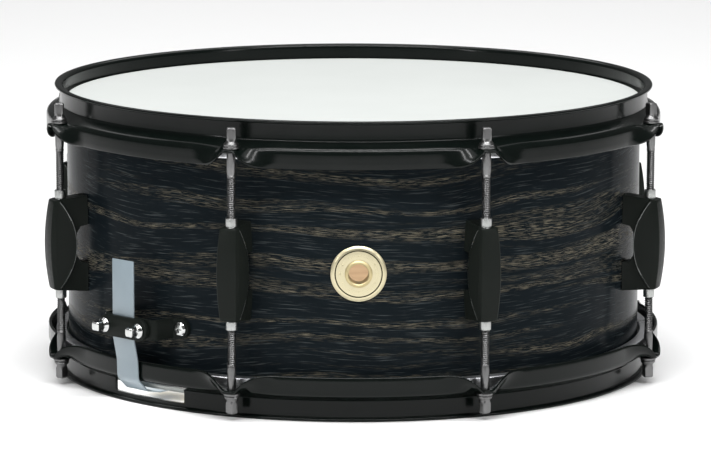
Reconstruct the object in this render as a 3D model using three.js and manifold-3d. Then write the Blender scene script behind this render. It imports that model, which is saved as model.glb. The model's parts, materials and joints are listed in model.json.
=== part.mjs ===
// A 14 inch by 6 1/4 inch snare drum with eight double-ended lugs, pressed triple-flange hoops, a throw-off
// (strainer) on one side and a plain butt end opposite it. Millimetres, +Z up, with the batter (upper) head
// on top. The origin is the centre of the circle on which the lower hoop stands. The badge faces -Y.
//
// A place round the drum is an angle from -Y, positive towards +X. A piece is drawn in a station frame in
// which the drum's axis is Z, the mid-depth of the shell is z = 0 and -Y points outwards; a group then turns
// it to its angle. In the outlines below, "r" is the distance from the drum's axis.
import * as THREE from "three";
import { mergeVertices } from "three/addons/utils/BufferGeometryUtils.js";
import Module from "manifold-3d";

const wasm = await Module();
wasm.setup();

// ---------------------------------------------------------------- driving dimensions, mm and degrees

const GAP = 0.3; // clearance between two pieces that touch on the real drum

const ROUND_STEPS = 64; // facets round the shell, the heads and the flesh hoops

const SHELL_RADIUS = 177.8; // outside of a 14 inch shell
const SHELL_WALL = 6.4;
const SHELL_DEPTH = 158; // bearing edge to bearing edge
const EDGE_ROUND = 1.4; // outside of the bearing edge
const EDGE_CREST = 0.8; // flat crest of the bearing edge
const SNARE_BED_DEPTH = 1.6;
const SNARE_BED_RADIUS = 900;

const FILM = 0.4; // head film
const COLLAR_DROP = 14; // from the film down to the lower end of the collar
const FLESH_WIDTH = 6.8;
const FLESH_HEIGHT = 7.4;

const HOOP_SHEET = 2; // thickness of the pressed hoop
const HOOP_WALL_CLEARANCE = 2.8; // shell outside to hoop wall inside
const RIM_RISE = 9; // hoop lip above the head
const HOOP_HEIGHT = 26.7;
const LIP_OVERHANG = 2.5;
const LIP_HEIGHT = 2.1;
const LIP_CHAMFER = 0.7;
const LIP_TAPER = 0.5; // the lip thins towards its rim
const WALL_HEIGHT = 11.7; // lip top to the start of the shoulder
const SHOULDER_DROP = 2.6;
const CREST_INSET = 3.8; // skirt outside to the crest of the shoulder
const WALL_LEAD = 0.8; // the inside of the wall runs this much further down than its outside
const SKIRT_STANDOFF = 8.2; // hoop wall outside to skirt outside
const BEND_RADIUS = 1.4; // middle of the sheet, shoulder to skirt
const EAR_DROP = 16.5; // lip top to the top of an ear
const EAR_BEND_START = 22; // degrees from level at which the bend starts beside an ear
const EAR_BEND_TURN = 58; // degrees that the start moves up at an ear
const EAR_REACH = 11; // from the bend out to the tip of an ear
const EAR_WAIST = 0.35; // share of the skirt's length that is missing half-way up to an ear
const EAR_HALF_WIDTH = 6.8;
const EAR_FOOT_HALF_WIDTH = 15;
const GATE_MARGIN = 20; // snare strap to the sides of its gate in the lower hoop
const GATE_OFFSET = 3.3; // middle of the snare to the middle of the gate
const GATE_TOP = 14; // above the lip
const GATE_BOTTOM = 4.3;
const GATE_SKIRT_CLEARANCE = 2.6; // gate to the outside of the skirt

const LUG_COUNT = 8;
const FIRST_LUG_ANGLE = 22.5;
const LUG_HEIGHT = 54.4;
const LUG_WIDTH = 14.2;
const LUG_END_WIDTH = 11.6;
const LUG_COVER = 8.2; // rod centre to the middle of the lug's face
const LUG_FACE_BULGE = 2.6;
const LUG_CHAMFER = 2.6;
const LUG_NOTCH_HEIGHT = 25;
const LUG_NOTCH_DEPTH = 7.4;
const LUG_DROP = 1.6; // lugs and badge sit a little below mid-depth

const ROD_CIRCLE_CLEARANCE = 2.8; // hoop skirt outside to rod centre
const ROD_SHANK = 5.2; // diameter
const ROD_SHANK_LENGTH = 17.5;
const ROD_THREAD = 4.8; // diameter
const ROD_HEAD_SIZE = 5.9; // across the flats of the square head
const ROD_HEAD_HEIGHT = 9.2;
const ROD_FLANGE = 8.8; // diameter
const ROD_FLANGE_HEIGHT = 1.5;
const WASHER_HEIGHT = 1.3;
const ROD_HOLE_PLAY = 1.2; // hole in an ear over the rod's shank, on the diameter
const LUG_BORE_PLAY = 1.6; // lug's bore over the rod, on the diameter
const ROD_END_INSET = 12; // lug end to rod end, inside the lug

const BADGE_DIAMETER = 33;
const BADGE_THICKNESS = 1.4;
const VENT_BORE = 11.6;
const GROMMET_WALL = 1;
const GROMMET_FLANGE = 16;
const GROMMET_FLANGE_HEIGHT = 1.1;

const SNARE_ANGLE = -44.5; // butt end; the throw-off is opposite
const STRAP_WIDTH = 18;
const BUTT_STRAP_OFFSET = -2.6; // the strap sits beside the middle of its clamp
const STRAP_THICKNESS = 1;
const STRAP_RISE = 61.1; // lower hoop's skirt to the strap's free end
const CLAMP_RISE = 21.6; // lower hoop's skirt to the middle of both clamps
const CLAMP_END = 5.7; // screw to the end of a clamp plate
const CLAMP_WIDTH = 13;
const CLAMP_THICKNESS = 3;
const CLAMP_SCREW_CLEARANCE = 3.3; // a centred strap to a clamp screw
const CLAMP_SCREW_SHANK = 4;
const CLAMP_SCREW_REACH = 3.5; // behind the strap
const CLAMP_SCREW_HEAD = 7.4; // height of its square head
const BUTT_STANDOFF = 14.2; // shell to the back of the butt bracket's bridge
const BUTT_SHEET = 2.3;
const BUTT_BRIDGE_MARGIN = 1.5; // clamp plate's end to the side of the bridge
const BUTT_LOBE_REACH = 6.3; // side of the bridge to the screws in the feet, along the shell
const BUTT_LOBE_HALF = 5.6; // half the length of a foot
const BUTT_BEND = 2; // chamfer that stands for the bend
const BUTT_FOOT_LEAD = 1.8; // the foot's inside starts this much nearer the bridge
const MOUNT_SCREW_HEAD = 8.6;
const MOUNT_SCREW_HEAD_HEIGHT = 1.8;
const MOUNT_SCREW_SHANK = 4;

const WIRE_COUNT = 20;
const WIRE_DIAMETER = 1.6;
const WIRE_PITCH = 2;
const WIRE_INSET = 27.8; // shell outside to the end of the wires
const WIRE_WEB = 0.5; // thickness of the web between two strands
const END_PLATE_LENGTH = 13;
const END_PLATE_THICKNESS = 1.2;

const SLIDE_MARGIN = 1.2; // strap to the side of the slide
const SLIDE_HEIGHT = 44;
const SLIDE_END = 1.1; // the stem below the slide's foot
const SLIDE_SCREW_CLEARANCE = 0.4; // heads of the base's screws to the slide
const SLIDE_FOOT_MARGIN = 0.4; // clamp plate to the edges of the slide's foot
const SLIDE_FOOT_STEP = 2; // the foot's back stands this much in front of the stem's
const SLIDE_THICKNESS = 11.2;
const CHEEK_THICKNESS = 4;
const CHEEK_CLEARANCE = 5.1; // slide's foot to the cheeks above it
const CHEEK_DEPTH = 20;
const CHEEK_BEVEL = 5;
const BASE_RISE = 5; // lower hoop's skirt to the bottom of the base
const BASE_HEIGHT = 65;
const BASE_PLATE = 4;
const BASE_SCREW_INSET = 5;
const PIVOT_DROP = 6; // base's top to the lever's pivot
const PIVOT_DEPTH = 6.4; // back of the slide to the lever's pivot
const PIVOT_DIAMETER = 4.4;
const LEVER_ARM = 2.7;
const LEVER_HUB = 4; // half the width of an arm's end
const LEVER_GRIP_START = 12; // above the pivot
const LEVER_GRIP_HEIGHT = 26;
const LEVER_GRIP = 3; // thickness
const LEVER_KNOB_CLEARANCE = 2.5; // knob to the back of the grip
const KNOB_DIAMETER = 15;
const KNOB_HEIGHT = 9;
const KNOB_RISE = 4.5; // above the base's top
const KNOB_STEM = 4;
const KNOB_STEM_DEPTH = 10; // in the slide

// ---------------------------------------------------------------- places that follow from them

const edgeZ = SHELL_DEPTH / 2;
const filmTop = edgeZ + GAP + FILM;
const lipZ = filmTop + RIM_RISE; // also half of the drum's height
const collarInner = SHELL_RADIUS + GAP;
const fleshInner = collarInner + FILM + GAP;
const hoopInner = SHELL_RADIUS + HOOP_WALL_CLEARANCE;
const hoopOuter = hoopInner + HOOP_SHEET;
const skirtOuter = hoopOuter + SKIRT_STANDOFF;
const earTop = lipZ - EAR_DROP;
const rodRadius = skirtOuter + ROD_CIRCLE_CLEARANCE;
const lugFoot = SHELL_RADIUS + GAP;
const lugTop = LUG_HEIGHT / 2;
const lugFace = rodRadius + LUG_COVER;
const rodHole = ROD_SHANK + ROD_HOLE_PLAY;
const lugBore = Math.max(ROD_SHANK, ROD_THREAD) + LUG_BORE_PLAY;
const skirtEnd = -lipZ + HOOP_HEIGHT; // of the lower hoop
const clampZ = skirtEnd + CLAMP_RISE;
const clampLow = clampZ - CLAMP_WIDTH / 2;
const strapHalf = STRAP_WIDTH / 2;
const clampScrewX = strapHalf + CLAMP_SCREW_CLEARANCE + CLAMP_SCREW_SHANK / 2;
const clampHalf = clampScrewX + CLAMP_END;
const wireHalf = SHELL_RADIUS - WIRE_INSET;
const baseBack = SHELL_RADIUS + GAP;
const baseFront = baseBack + BASE_PLATE;
const slideBack = baseFront + GAP + MOUNT_SCREW_HEAD_HEIGHT + SLIDE_SCREW_CLEARANCE;
const strapButtR = SHELL_RADIUS + BUTT_STANDOFF + BUTT_SHEET + GAP + STRAP_THICKNESS / 2;
const slideFront = slideBack + SLIDE_THICKNESS;
const strapSlideR = slideFront + GAP + STRAP_THICKNESS / 2;
const wireTop = -filmTop - GAP;
const plateUnderside = wireTop - END_PLATE_THICKNESS;
const strapInnerZ = plateUnderside - GAP - STRAP_THICKNESS / 2;

// ---------------------------------------------------------------- materials

function finish(color, roughness, metalness) {
  return new THREE.MeshStandardMaterial({ color, roughness, metalness });
}

const stainedOak = finish(0x1c1f26, 0.5, 0);
const blackGloss = finish(0x0d0e0f, 0.15, 0.2);
const blackSatin = finish(0x26282a, 0.45, 0.3);
const blackNickel = finish(0x4a4c50, 0.25, 1);
const chrome = finish(0xd8dadd, 0.08, 1);
const aluminium = finish(0xc9ccd0, 0.3, 1);
const coatedFilm = finish(0xebefee, 0.8, 0);
const clearFilm = finish(0xe6e8ea, 0.4, 0);
const paleGold = finish(0xcdbb96, 0.3, 1);
const yellowGold = finish(0xd0b26a, 0.3, 1);
const strapPlastic = finish(0xa8b2bc, 0.4, 0);
const steelWire = finish(0xc4c6c8, 0.3, 1);

// ---------------------------------------------------------------- shapes

const radians = THREE.MathUtils.degToRad;
const vec2 = ([x, y]) => new THREE.Vector2(x, y);

function solidOf(geometry) {
  const bare = geometry.clone();
  bare.deleteAttribute("normal");
  bare.deleteAttribute("uv");
  const merged = mergeVertices(bare, 1e-4);
  const vertProperties = new Float32Array(merged.attributes.position.array);
  const triVerts = new Uint32Array(merged.index.array);
  return new wasm.Manifold(new wasm.Mesh({ numProp: 3, vertProperties, triVerts }));
}

function geometryOf(solid) {
  const { numProp, vertProperties, triVerts } = solid.getMesh();
  const position = new Float32Array((vertProperties.length / numProp) * 3);
  for (let i = 0; i < position.length / 3; i++) {
    position.set(vertProperties.subarray(i * numProp, i * numProp + 3), i * 3);
  }
  const geometry = new THREE.BufferGeometry();
  geometry.setAttribute("position", new THREE.BufferAttribute(position, 3));
  geometry.setIndex(new THREE.BufferAttribute(new Uint32Array(triVerts), 1));
  geometry.computeVertexNormals();
  return geometry;
}

function cut(body, ...tools) {
  return geometryOf(tools.reduce((left, tool) => left.subtract(solidOf(tool)), solidOf(body)));
}

function join(body, ...others) {
  return geometryOf(others.reduce((sum, other) => sum.add(solidOf(other)), solidOf(body)));
}

// A ring or a disc from its outline in (r, z), turned about Z.
function turned(outline, segments = ROUND_STEPS) {
  const isClosed = outline[0][0] > 0;
  const closed = isClosed ? [...outline, outline[0]] : outline;
  const area = THREE.ShapeUtils.area(closed.map(vec2));
  const points = (area < 0 ? [...closed].reverse() : closed).map(vec2);
  return new THREE.LatheGeometry(points, segments).rotateX(Math.PI / 2);
}

// A round bar along Z.
function bar(diameter, z0, z1, segments = 12) {
  const length = z1 - z0;
  const geometry = new THREE.CylinderGeometry(diameter / 2, diameter / 2, length, segments);
  return geometry.rotateX(Math.PI / 2).translate(0, 0, z0 + length / 2);
}

// A round bar along the outward direction, from r0 out to r1, at x and z.
function peg(diameter, r0, r1, x, z, segments = 12) {
  const length = r1 - r0;
  const geometry = new THREE.CylinderGeometry(diameter / 2, diameter / 2, length, segments);
  return geometry.translate(x, -(r0 + length / 2), z);
}

// A round bar along X, across the outward direction, at r and z.
function crossBar(diameter, x0, x1, r, z, segments = 12) {
  const length = x1 - x0;
  const geometry = new THREE.CylinderGeometry(diameter / 2, diameter / 2, length, segments);
  return geometry.rotateZ(Math.PI / 2).translate(x0 + length / 2, -r, z);
}

// A box from its limits in x, r and z.
function block(x0, x1, r0, r1, z0, z1) {
  const geometry = new THREE.BoxGeometry(x1 - x0, r1 - r0, z1 - z0);
  return geometry.translate((x0 + x1) / 2, -(r0 + r1) / 2, (z0 + z1) / 2);
}

// A prism across the outward direction from its outline in (r, z).
function across(outline, width) {
  const options = { depth: width, bevelEnabled: false, curveSegments: 8 };
  const geometry = new THREE.ExtrudeGeometry(new THREE.Shape(outline.map(vec2)), options);
  const toStation = new THREE.Matrix4().set(0, 0, -1, width / 2, -1, 0, 0, 0, 0, 1, 0, 0, 0, 0, 0, 1);
  return geometry.applyMatrix4(toStation);
}

// A prism along Z from its outline in (x, r), between z0 and z1.
function upright(outline, z0, z1) {
  const shape = new THREE.Shape(outline.map(([x, r]) => new THREE.Vector2(x, -r)));
  return new THREE.ExtrudeGeometry(shape, { depth: z1 - z0, bevelEnabled: false }).translate(0, 0, z0);
}

// A plate with round ends, long along X, between r0 and r1.
function roundEnded(length, width, r0, r1, z) {
  const half = width / 2;
  const shape = new THREE.Shape();
  shape.absarc(length / 2 - half, 0, half, -Math.PI / 2, Math.PI / 2);
  shape.absarc(half - length / 2, 0, half, Math.PI / 2, Math.PI * 1.5);
  const options = { depth: r1 - r0, bevelEnabled: false, curveSegments: 5 };
  return new THREE.ExtrudeGeometry(shape, options).rotateX(Math.PI / 2).translate(0, -r0, z);
}

// A closed skin over rings of points: ends are capped, or the last ring meets the first.
function skin(rings, isLoop) {
  const count = rings[0].length;
  const position = rings.flat(2);
  const index = [];
  const last = isLoop ? rings.length : rings.length - 1;
  for (let i = 0; i < last; i++) {
    const here = i * count;
    const next = ((i + 1) % rings.length) * count;
    for (let j = 0; j < count; j++) {
      const k = (j + 1) % count;
      index.push(here + j, here + k, next + k, here + j, next + k, next + j);
    }
  }
  if (!isLoop) {
    const end = (rings.length - 1) * count;
    for (let j = 1; j < count - 1; j++) {
      index.push(0, j + 1, j, end, end + j, end + j + 1);
    }
  }
  const geometry = new THREE.BufferGeometry();
  geometry.setAttribute("position", new THREE.Float32BufferAttribute(position, 3));
  geometry.setIndex(index);
  return geometry;
}

// A strip of even thickness along a path in (r, z), as a closed outline.
function stripOutline(path, thickness) {
  const half = thickness / 2;
  const sides = path.map((point, i) => {
    const before = vec2(path[Math.max(i - 1, 0)]);
    const after = vec2(path[Math.min(i + 1, path.length - 1)]);
    const along = after.sub(before).normalize();
    return { point, normal: [-along.y * half, along.x * half] };
  });
  const left = sides.map(({ point, normal }) => [point[0] + normal[0], point[1] + normal[1]]);
  const right = sides.map(({ point, normal }) => [point[0] - normal[0], point[1] - normal[1]]);
  return [...left, ...right.reverse()];
}

// ---------------------------------------------------------------- the assembly

const drum = new THREE.Group();
drum.position.z = lipZ;

function add(name, geometry, material, parent = drum) {
  const mesh = new THREE.Mesh(geometry, material);
  mesh.name = name;
  parent.add(mesh);
  return mesh;
}

function station(angle) {
  const group = new THREE.Group();
  group.rotation.z = radians(angle);
  drum.add(group);
  return group;
}

const buttStation = station(SNARE_ANGLE);
const strainerStation = station(SNARE_ANGLE + 180);
const lugAngles = Array.from({ length: LUG_COUNT }, (_, i) => FIRST_LUG_ANGLE + (i * 360) / LUG_COUNT);

// The other side of the drum: the same piece turned over.
const turnedOver = (geometry) => geometry.clone().rotateX(Math.PI);
const turnedTo = (geometry, angle) => geometry.clone().rotateZ(radians(angle));

// ---------------------------------------------------------------- shell, badge and vent

function shellGeometry() {
  const inner = SHELL_RADIUS - SHELL_WALL;
  const bevel = SHELL_WALL - EDGE_ROUND - EDGE_CREST; // the inside of the edge is cut at 45 degrees
  const outline = [
    [SHELL_RADIUS, -edgeZ + EDGE_ROUND],
    [SHELL_RADIUS, edgeZ - EDGE_ROUND],
    [SHELL_RADIUS - EDGE_ROUND, edgeZ],
    [inner + bevel, edgeZ],
    [inner, edgeZ - bevel],
    [inner, -edgeZ + bevel],
    [inner + bevel, -edgeZ],
    [SHELL_RADIUS - EDGE_ROUND, -edgeZ],
  ];
  const ventHole = peg(VENT_BORE + 2 * GROMMET_WALL + 2 * GAP, inner - 5, SHELL_RADIUS + 5, 0, -LUG_DROP);
  const bedHalfAngle = Math.acos(1 - SNARE_BED_DEPTH / SNARE_BED_RADIUS);
  const chord = Array.from({ length: 9 }, (_, i) => {
    const a = bedHalfAngle * (i / 4 - 1);
    const rise = SNARE_BED_DEPTH - SNARE_BED_RADIUS * (1 - Math.cos(a));
    return new THREE.Vector2(SNARE_BED_RADIUS * Math.sin(a), -edgeZ + rise);
  });
  const lower = -edgeZ - 5;
  const bedShape = new THREE.Shape([
    new THREE.Vector2(chord[0].x, lower),
    new THREE.Vector2(chord[8].x, lower),
    ...chord.reverse(),
  ]);
  const bed = new THREE.ExtrudeGeometry(bedShape, { depth: 4 * SHELL_RADIUS, bevelEnabled: false });
  bed.rotateX(Math.PI / 2).translate(0, 2 * SHELL_RADIUS, 0).rotateZ(radians(SNARE_ANGLE));
  return cut(turned(outline), ventHole, bed);
}
add("shell", shellGeometry(), stainedOak);

const grommetOuter = VENT_BORE + 2 * GROMMET_WALL;

function badgeGeometry() {
  const radius = BADGE_DIAMETER / 2;
  const hole = grommetOuter / 2 + GAP;
  const outline = [
    [hole, 0],
    [radius, 0],
    [radius - 0.5, BADGE_THICKNESS * 0.6],
    [radius - 4, BADGE_THICKNESS],
    [hole, BADGE_THICKNESS],
  ];
  const badge = turned(outline, 24).rotateX(Math.PI / 2);
  const position = badge.attributes.position;
  for (let i = 0; i < position.count; i++) {
    const x = position.getX(i);
    const surface = Math.sqrt((SHELL_RADIUS + GAP) ** 2 - x * x); // the badge is bent round the shell
    position.setXYZ(i, x, position.getY(i) - surface, position.getZ(i) - LUG_DROP);
  }
  return badge;
}
add("badge", badgeGeometry(), paleGold);

function grommetGeometry() {
  const inside = SHELL_RADIUS - SHELL_WALL;
  const front = SHELL_RADIUS + BADGE_THICKNESS + 2 * GAP;
  const back = inside - GAP;
  const bore = VENT_BORE / 2;
  const tube = grommetOuter / 2;
  const flange = GROMMET_FLANGE / 2;
  const outline = [
    [bore, front + GROMMET_FLANGE_HEIGHT],
    [flange - 0.6, front + GROMMET_FLANGE_HEIGHT],
    [flange, front],
    [tube, front],
    [tube, back],
    [flange, back - 0.3],
    [flange, back - GROMMET_FLANGE_HEIGHT],
    [bore, back - GROMMET_FLANGE_HEIGHT],
  ];
  return turned(outline, 16).rotateX(Math.PI / 2).translate(0, 0, -LUG_DROP);
}
add("vent_grommet", grommetGeometry(), yellowGold);

// ---------------------------------------------------------------- heads and their flesh hoops

function headGeometry() {
  const under = edgeZ + GAP;
  const crest = SHELL_RADIUS - EDGE_ROUND;
  const end = filmTop - COLLAR_DROP;
  return turned([
    [0, under],
    [crest, under],
    [collarInner, under - EDGE_ROUND - GAP],
    [collarInner, end],
    [collarInner + FILM, end],
    [collarInner + FILM, under - EDGE_ROUND + FILM],
    [crest + FILM, filmTop],
    [0, filmTop],
  ]);
}

// The hoop's shoulder rests on the flesh hoop.
const shoulderInnerZ = lipZ - WALL_HEIGHT - HOOP_SHEET * 1.1;

function fleshHoopGeometry() {
  const outer = fleshInner + FLESH_WIDTH;
  const top = shoulderInnerZ - SHOULDER_DROP;
  return turned([
    [fleshInner, top - FLESH_HEIGHT],
    [outer, top - FLESH_HEIGHT],
    [outer, top],
    [fleshInner, top],
  ]);
}

const head = headGeometry();
const fleshHoop = fleshHoopGeometry();
add("batter_head", head, coatedFilm);
add("snare_side_head", turnedOver(head), clearFilm);
add("batter_flesh_hoop", fleshHoop, aluminium);
add("snare_side_flesh_hoop", turnedOver(fleshHoop), aluminium);

// ---------------------------------------------------------------- hoops

// The hoop's section in (r, z). ear = 0 is the plain skirt, hanging down; ear = 1 is the skirt turned out
// flat. In between, the skirt is a little shorter, so that its edge sweeps up to the ear.
function hoopSection(ear) {
  const pivotR = skirtOuter - HOOP_SHEET / 2 - BEND_RADIUS;
  const pivotZ = earTop - HOOP_SHEET / 2 - BEND_RADIUS;
  const outside = BEND_RADIUS + HOOP_SHEET / 2;
  const inside = BEND_RADIUS - HOOP_SHEET / 2;
  const skirtLength = pivotZ - (lipZ - HOOP_HEIGHT);
  const waist = 1 - EAR_WAIST * 4 * ear * (1 - ear);
  const length = THREE.MathUtils.lerp(skirtLength, EAR_REACH, ear) * waist;
  const turn = radians(90 * ear);
  const startAngle = radians(EAR_BEND_START + EAR_BEND_TURN * ear);
  const onBend = (offset, angle, along = 0) => [
    pivotR + offset * Math.cos(angle) + along * Math.sin(turn),
    pivotZ + offset * Math.sin(angle) - along * Math.cos(turn),
  ];
  const wallEnd = lipZ - WALL_HEIGHT;
  const crest = [skirtOuter - CREST_INSET, wallEnd - SHOULDER_DROP];
  const slope = Math.atan2(wallEnd - crest[1], crest[0] - hoopOuter);
  const crestInner = [crest[0] - HOOP_SHEET * Math.sin(slope), crest[1] - HOOP_SHEET * Math.cos(slope)];
  return [
    [hoopInner, lipZ],
    [hoopOuter + LIP_OVERHANG - LIP_CHAMFER, lipZ],
    [hoopOuter + LIP_OVERHANG, lipZ - LIP_HEIGHT + LIP_CHAMFER],
    [hoopOuter, lipZ - LIP_HEIGHT - LIP_TAPER],
    [hoopOuter, wallEnd],
    crest,
    onBend(outside, startAngle),
    onBend(outside, turn, length),
    onBend(inside, turn, length),
    onBend(inside, startAngle),
    crestInner,
    [hoopInner, wallEnd - WALL_LEAD],
  ];
}

function hoopGeometry() {
  const toAngle = (distance) => THREE.MathUtils.radToDeg(distance / rodRadius);
  const earAngle = toAngle(EAR_HALF_WIDTH);
  const footAngle = toAngle(EAR_FOOT_HALF_WIDTH);
  const rise = footAngle - earAngle;
  const spread = 360 / LUG_COUNT;
  const plainSteps = 5;
  const offsets = [
    -earAngle - rise,
    -earAngle - rise / 2,
    -earAngle,
    earAngle,
    earAngle + rise / 2,
    earAngle + rise,
  ];
  for (let i = 1; i < plainSteps; i++) {
    offsets.push(footAngle + ((spread - 2 * footAngle) * i) / plainSteps);
  }
  const rings = lugAngles.flatMap((centre) =>
    offsets.map((offset) => {
      const ear = THREE.MathUtils.clamp((footAngle - Math.abs(offset)) / rise, 0, 1);
      const a = radians(centre + offset);
      return hoopSection(ear).map(([r, z]) => [r * Math.sin(a), -r * Math.cos(a), z]);
    }),
  );
  const holes = lugAngles.map((angle) =>
    turnedTo(bar(rodHole, earTop - 10, earTop + 5, 10).translate(0, -rodRadius, 0), angle),
  );
  return cut(skin(rings, true), ...holes);
}

const hoop = hoopGeometry();
const gateHalf = strapHalf + GATE_MARGIN;
const gate = block(
  GATE_OFFSET - gateHalf,
  GATE_OFFSET + gateHalf,
  hoopInner - 5,
  skirtOuter - GATE_SKIRT_CLEARANCE,
  -lipZ + GATE_BOTTOM,
  -lipZ + GATE_TOP,
);
const gates = [turnedTo(gate, SNARE_ANGLE), turnedTo(gate, SNARE_ANGLE + 180)];
add("batter_hoop", hoop, blackGloss);
add("snare_side_hoop", cut(turnedOver(hoop), ...gates), blackGloss);

// ---------------------------------------------------------------- lugs and tension rods

function lugGeometry() {
  const heights = [-1, -0.55, 0, 0.55, 1];
  const rings = heights.map((share) => {
    const half = THREE.MathUtils.lerp(LUG_WIDTH, LUG_END_WIDTH, share ** 2) / 2;
    const face = lugFace - LUG_FACE_BULGE * share ** 2;
    const z = share * lugTop;
    return [
      [-half, -lugFoot, z],
      [half, -lugFoot, z],
      [half, -(face - LUG_CHAMFER), z],
      [half - LUG_CHAMFER, -face, z],
      [LUG_CHAMFER - half, -face, z],
      [-half, -(face - LUG_CHAMFER), z],
    ].reverse();
  });
  const deep = SHELL_RADIUS + LUG_NOTCH_DEPTH;
  const half = LUG_NOTCH_HEIGHT / 2;
  const notch = across(
    [
      [lugFoot - 5, -half],
      [deep - 2, -half * 0.8],
      [deep, -half * 0.5],
      [deep, half * 0.5],
      [deep - 2, half * 0.8],
      [lugFoot - 5, half],
    ],
    2 * LUG_WIDTH,
  );
  const bore = bar(lugBore, -lugTop - 5, lugTop + 5).translate(0, -rodRadius, 0);
  return cut(skin(rings, false), notch, bore).translate(0, 0, -LUG_DROP);
}

// A rod from its flange, which is at z = 0, with its square head up and its thread down.
function rodGeometry(length) {
  const flange = bar(ROD_FLANGE, 0, ROD_FLANGE_HEIGHT, 10);
  const shank = bar(ROD_SHANK, -ROD_SHANK_LENGTH, 0.1, 8);
  const thread = bar(ROD_THREAD, -length, 0.2 - ROD_SHANK_LENGTH, 8);
  const headTop = ROD_FLANGE_HEIGHT + ROD_HEAD_HEIGHT;
  const squareHead = new THREE.BoxGeometry(ROD_HEAD_SIZE, ROD_HEAD_SIZE, headTop);
  squareHead.translate(0, 0, headTop / 2);
  return join(flange, shank, thread, squareHead);
}

const flangeZ = earTop + WASHER_HEIGHT + GAP;
const lug = lugGeometry();
const rodReach = flangeZ - (lugTop - LUG_DROP - ROD_END_INSET);
const batterRod = rodGeometry(rodReach).translate(0, -rodRadius, flangeZ);
const snareRod = rodGeometry(flangeZ - (lugTop + LUG_DROP - ROD_END_INSET))
  .rotateY(Math.PI)
  .translate(0, -rodRadius, -flangeZ);
lugAngles.forEach((angle, i) => {
  const place = station(angle);
  add(`lug_${i + 1}`, lug, blackSatin, place);
  add(`batter_tension_rod_${i + 1}`, batterRod, blackNickel, place);
  add(`snare_tension_rod_${i + 1}`, snareRod, blackNickel, place);
});

// ---------------------------------------------------------------- clamps of the butt end and the throw-off

// A drum-key screw whose flange rests on r = 0, pointing outwards, at x and z.
function keyScrewGeometry(r, x, z, shankLength) {
  const flange = peg(ROD_FLANGE, r, r + ROD_FLANGE_HEIGHT, x, z);
  const shank = peg(CLAMP_SCREW_SHANK, r - shankLength, r + 0.1, x, z, 10);
  const half = ROD_HEAD_SIZE / 2;
  const headEnd = r + ROD_FLANGE_HEIGHT + CLAMP_SCREW_HEAD;
  const squareHead = block(x - half, x + half, r, headEnd, z - half, z + half);
  return join(flange, shank, squareHead);
}

function clampHoles(r0, r1) {
  return [-clampScrewX, clampScrewX].map((x) => peg(CLAMP_SCREW_SHANK + 2 * GAP, r0, r1, x, clampZ));
}

function addClamp(prefix, strapR, place) {
  const back = strapR + STRAP_THICKNESS / 2 + GAP;
  const front = back + CLAMP_THICKNESS;
  const outline = roundEnded(2 * clampHalf, CLAMP_WIDTH, back, front, clampZ);
  const plate = cut(outline, ...clampHoles(back - 5, front + 5));
  add(`${prefix}_clamp_plate`, plate, blackSatin, place);
  [-clampScrewX, clampScrewX].forEach((x, i) => {
    const shankLength = CLAMP_THICKNESS + 2 * GAP + STRAP_THICKNESS + CLAMP_SCREW_REACH;
    const screw = keyScrewGeometry(front + GAP, x, clampZ, shankLength);
    add(`${prefix}_clamp_screw_${i + 1}`, screw, chrome, place);
  });
}

// A pan-head screw through a plate into the shell.
function mountScrewGeometry(seatR) {
  const head = peg(MOUNT_SCREW_HEAD, seatR, seatR + MOUNT_SCREW_HEAD_HEIGHT, 0, 0, 16);
  const shank = peg(MOUNT_SCREW_SHANK, SHELL_RADIUS + GAP, seatR + 0.1, 0, 0, 10);
  return join(head, shank);
}

// ---------------------------------------------------------------- butt end

const bridgeHalf = clampHalf + BUTT_BRIDGE_MARGIN;
const toShellAngle = (length) => THREE.MathUtils.radToDeg(length / SHELL_RADIUS);
const lobeAngle = toShellAngle(bridgeHalf + BUTT_LOBE_REACH);

function buttBracketGeometry() {
  const onShell = (offset, angle) => {
    const r = SHELL_RADIUS + offset;
    return [r * Math.sin(radians(angle)), r * Math.cos(radians(angle))];
  };
  const lobeHalfAngle = toShellAngle(BUTT_LOBE_HALF);
  const outerAngle = lobeAngle + lobeHalfAngle;
  const innerAngle = lobeAngle - lobeHalfAngle;
  const bridgeBack = SHELL_RADIUS + BUTT_STANDOFF;
  const bridgeFront = bridgeBack + BUTT_SHEET;
  const rightOuter = [
    [bridgeHalf - BUTT_BEND, bridgeFront],
    [bridgeHalf, bridgeFront - BUTT_BEND],
    onShell(GAP + BUTT_SHEET, innerAngle),
    onShell(GAP + BUTT_SHEET, lobeAngle),
    onShell(GAP + BUTT_SHEET, outerAngle),
  ];
  const rightInner = [
    onShell(GAP, outerAngle),
    onShell(GAP, lobeAngle),
    onShell(GAP, innerAngle - toShellAngle(BUTT_FOOT_LEAD)),
    [bridgeHalf - BUTT_SHEET - BUTT_BEND / 4, bridgeBack - 0.75 * BUTT_BEND],
    [bridgeHalf - 2 * BUTT_BEND, bridgeBack],
  ];
  const right = [...rightOuter, ...rightInner];
  const left = right.map(([x, r]) => [-x, r]).reverse();
  const plate = upright([...right, ...left].reverse(), clampLow, clampLow + CLAMP_WIDTH);
  const lobeHoles = [-lobeAngle, lobeAngle].map((angle) => {
    const hole = peg(MOUNT_SCREW_SHANK + 2 * GAP, SHELL_RADIUS - 5, SHELL_RADIUS + 8, 0, clampZ);
    return turnedTo(hole, angle);
  });
  return cut(plate, ...lobeHoles, ...clampHoles(bridgeBack - 2, bridgeFront + 2));
}
add("butt_bracket", buttBracketGeometry(), blackSatin, buttStation);
addClamp("butt", strapButtR, buttStation);

const buttScrew = mountScrewGeometry(SHELL_RADIUS + BUTT_SHEET + 2 * GAP).translate(0, 0, clampZ);
[-lobeAngle, lobeAngle].forEach((angle, i) => {
  add(`butt_mount_screw_${i + 1}`, turnedTo(buttScrew, angle), chrome, buttStation);
});

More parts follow.
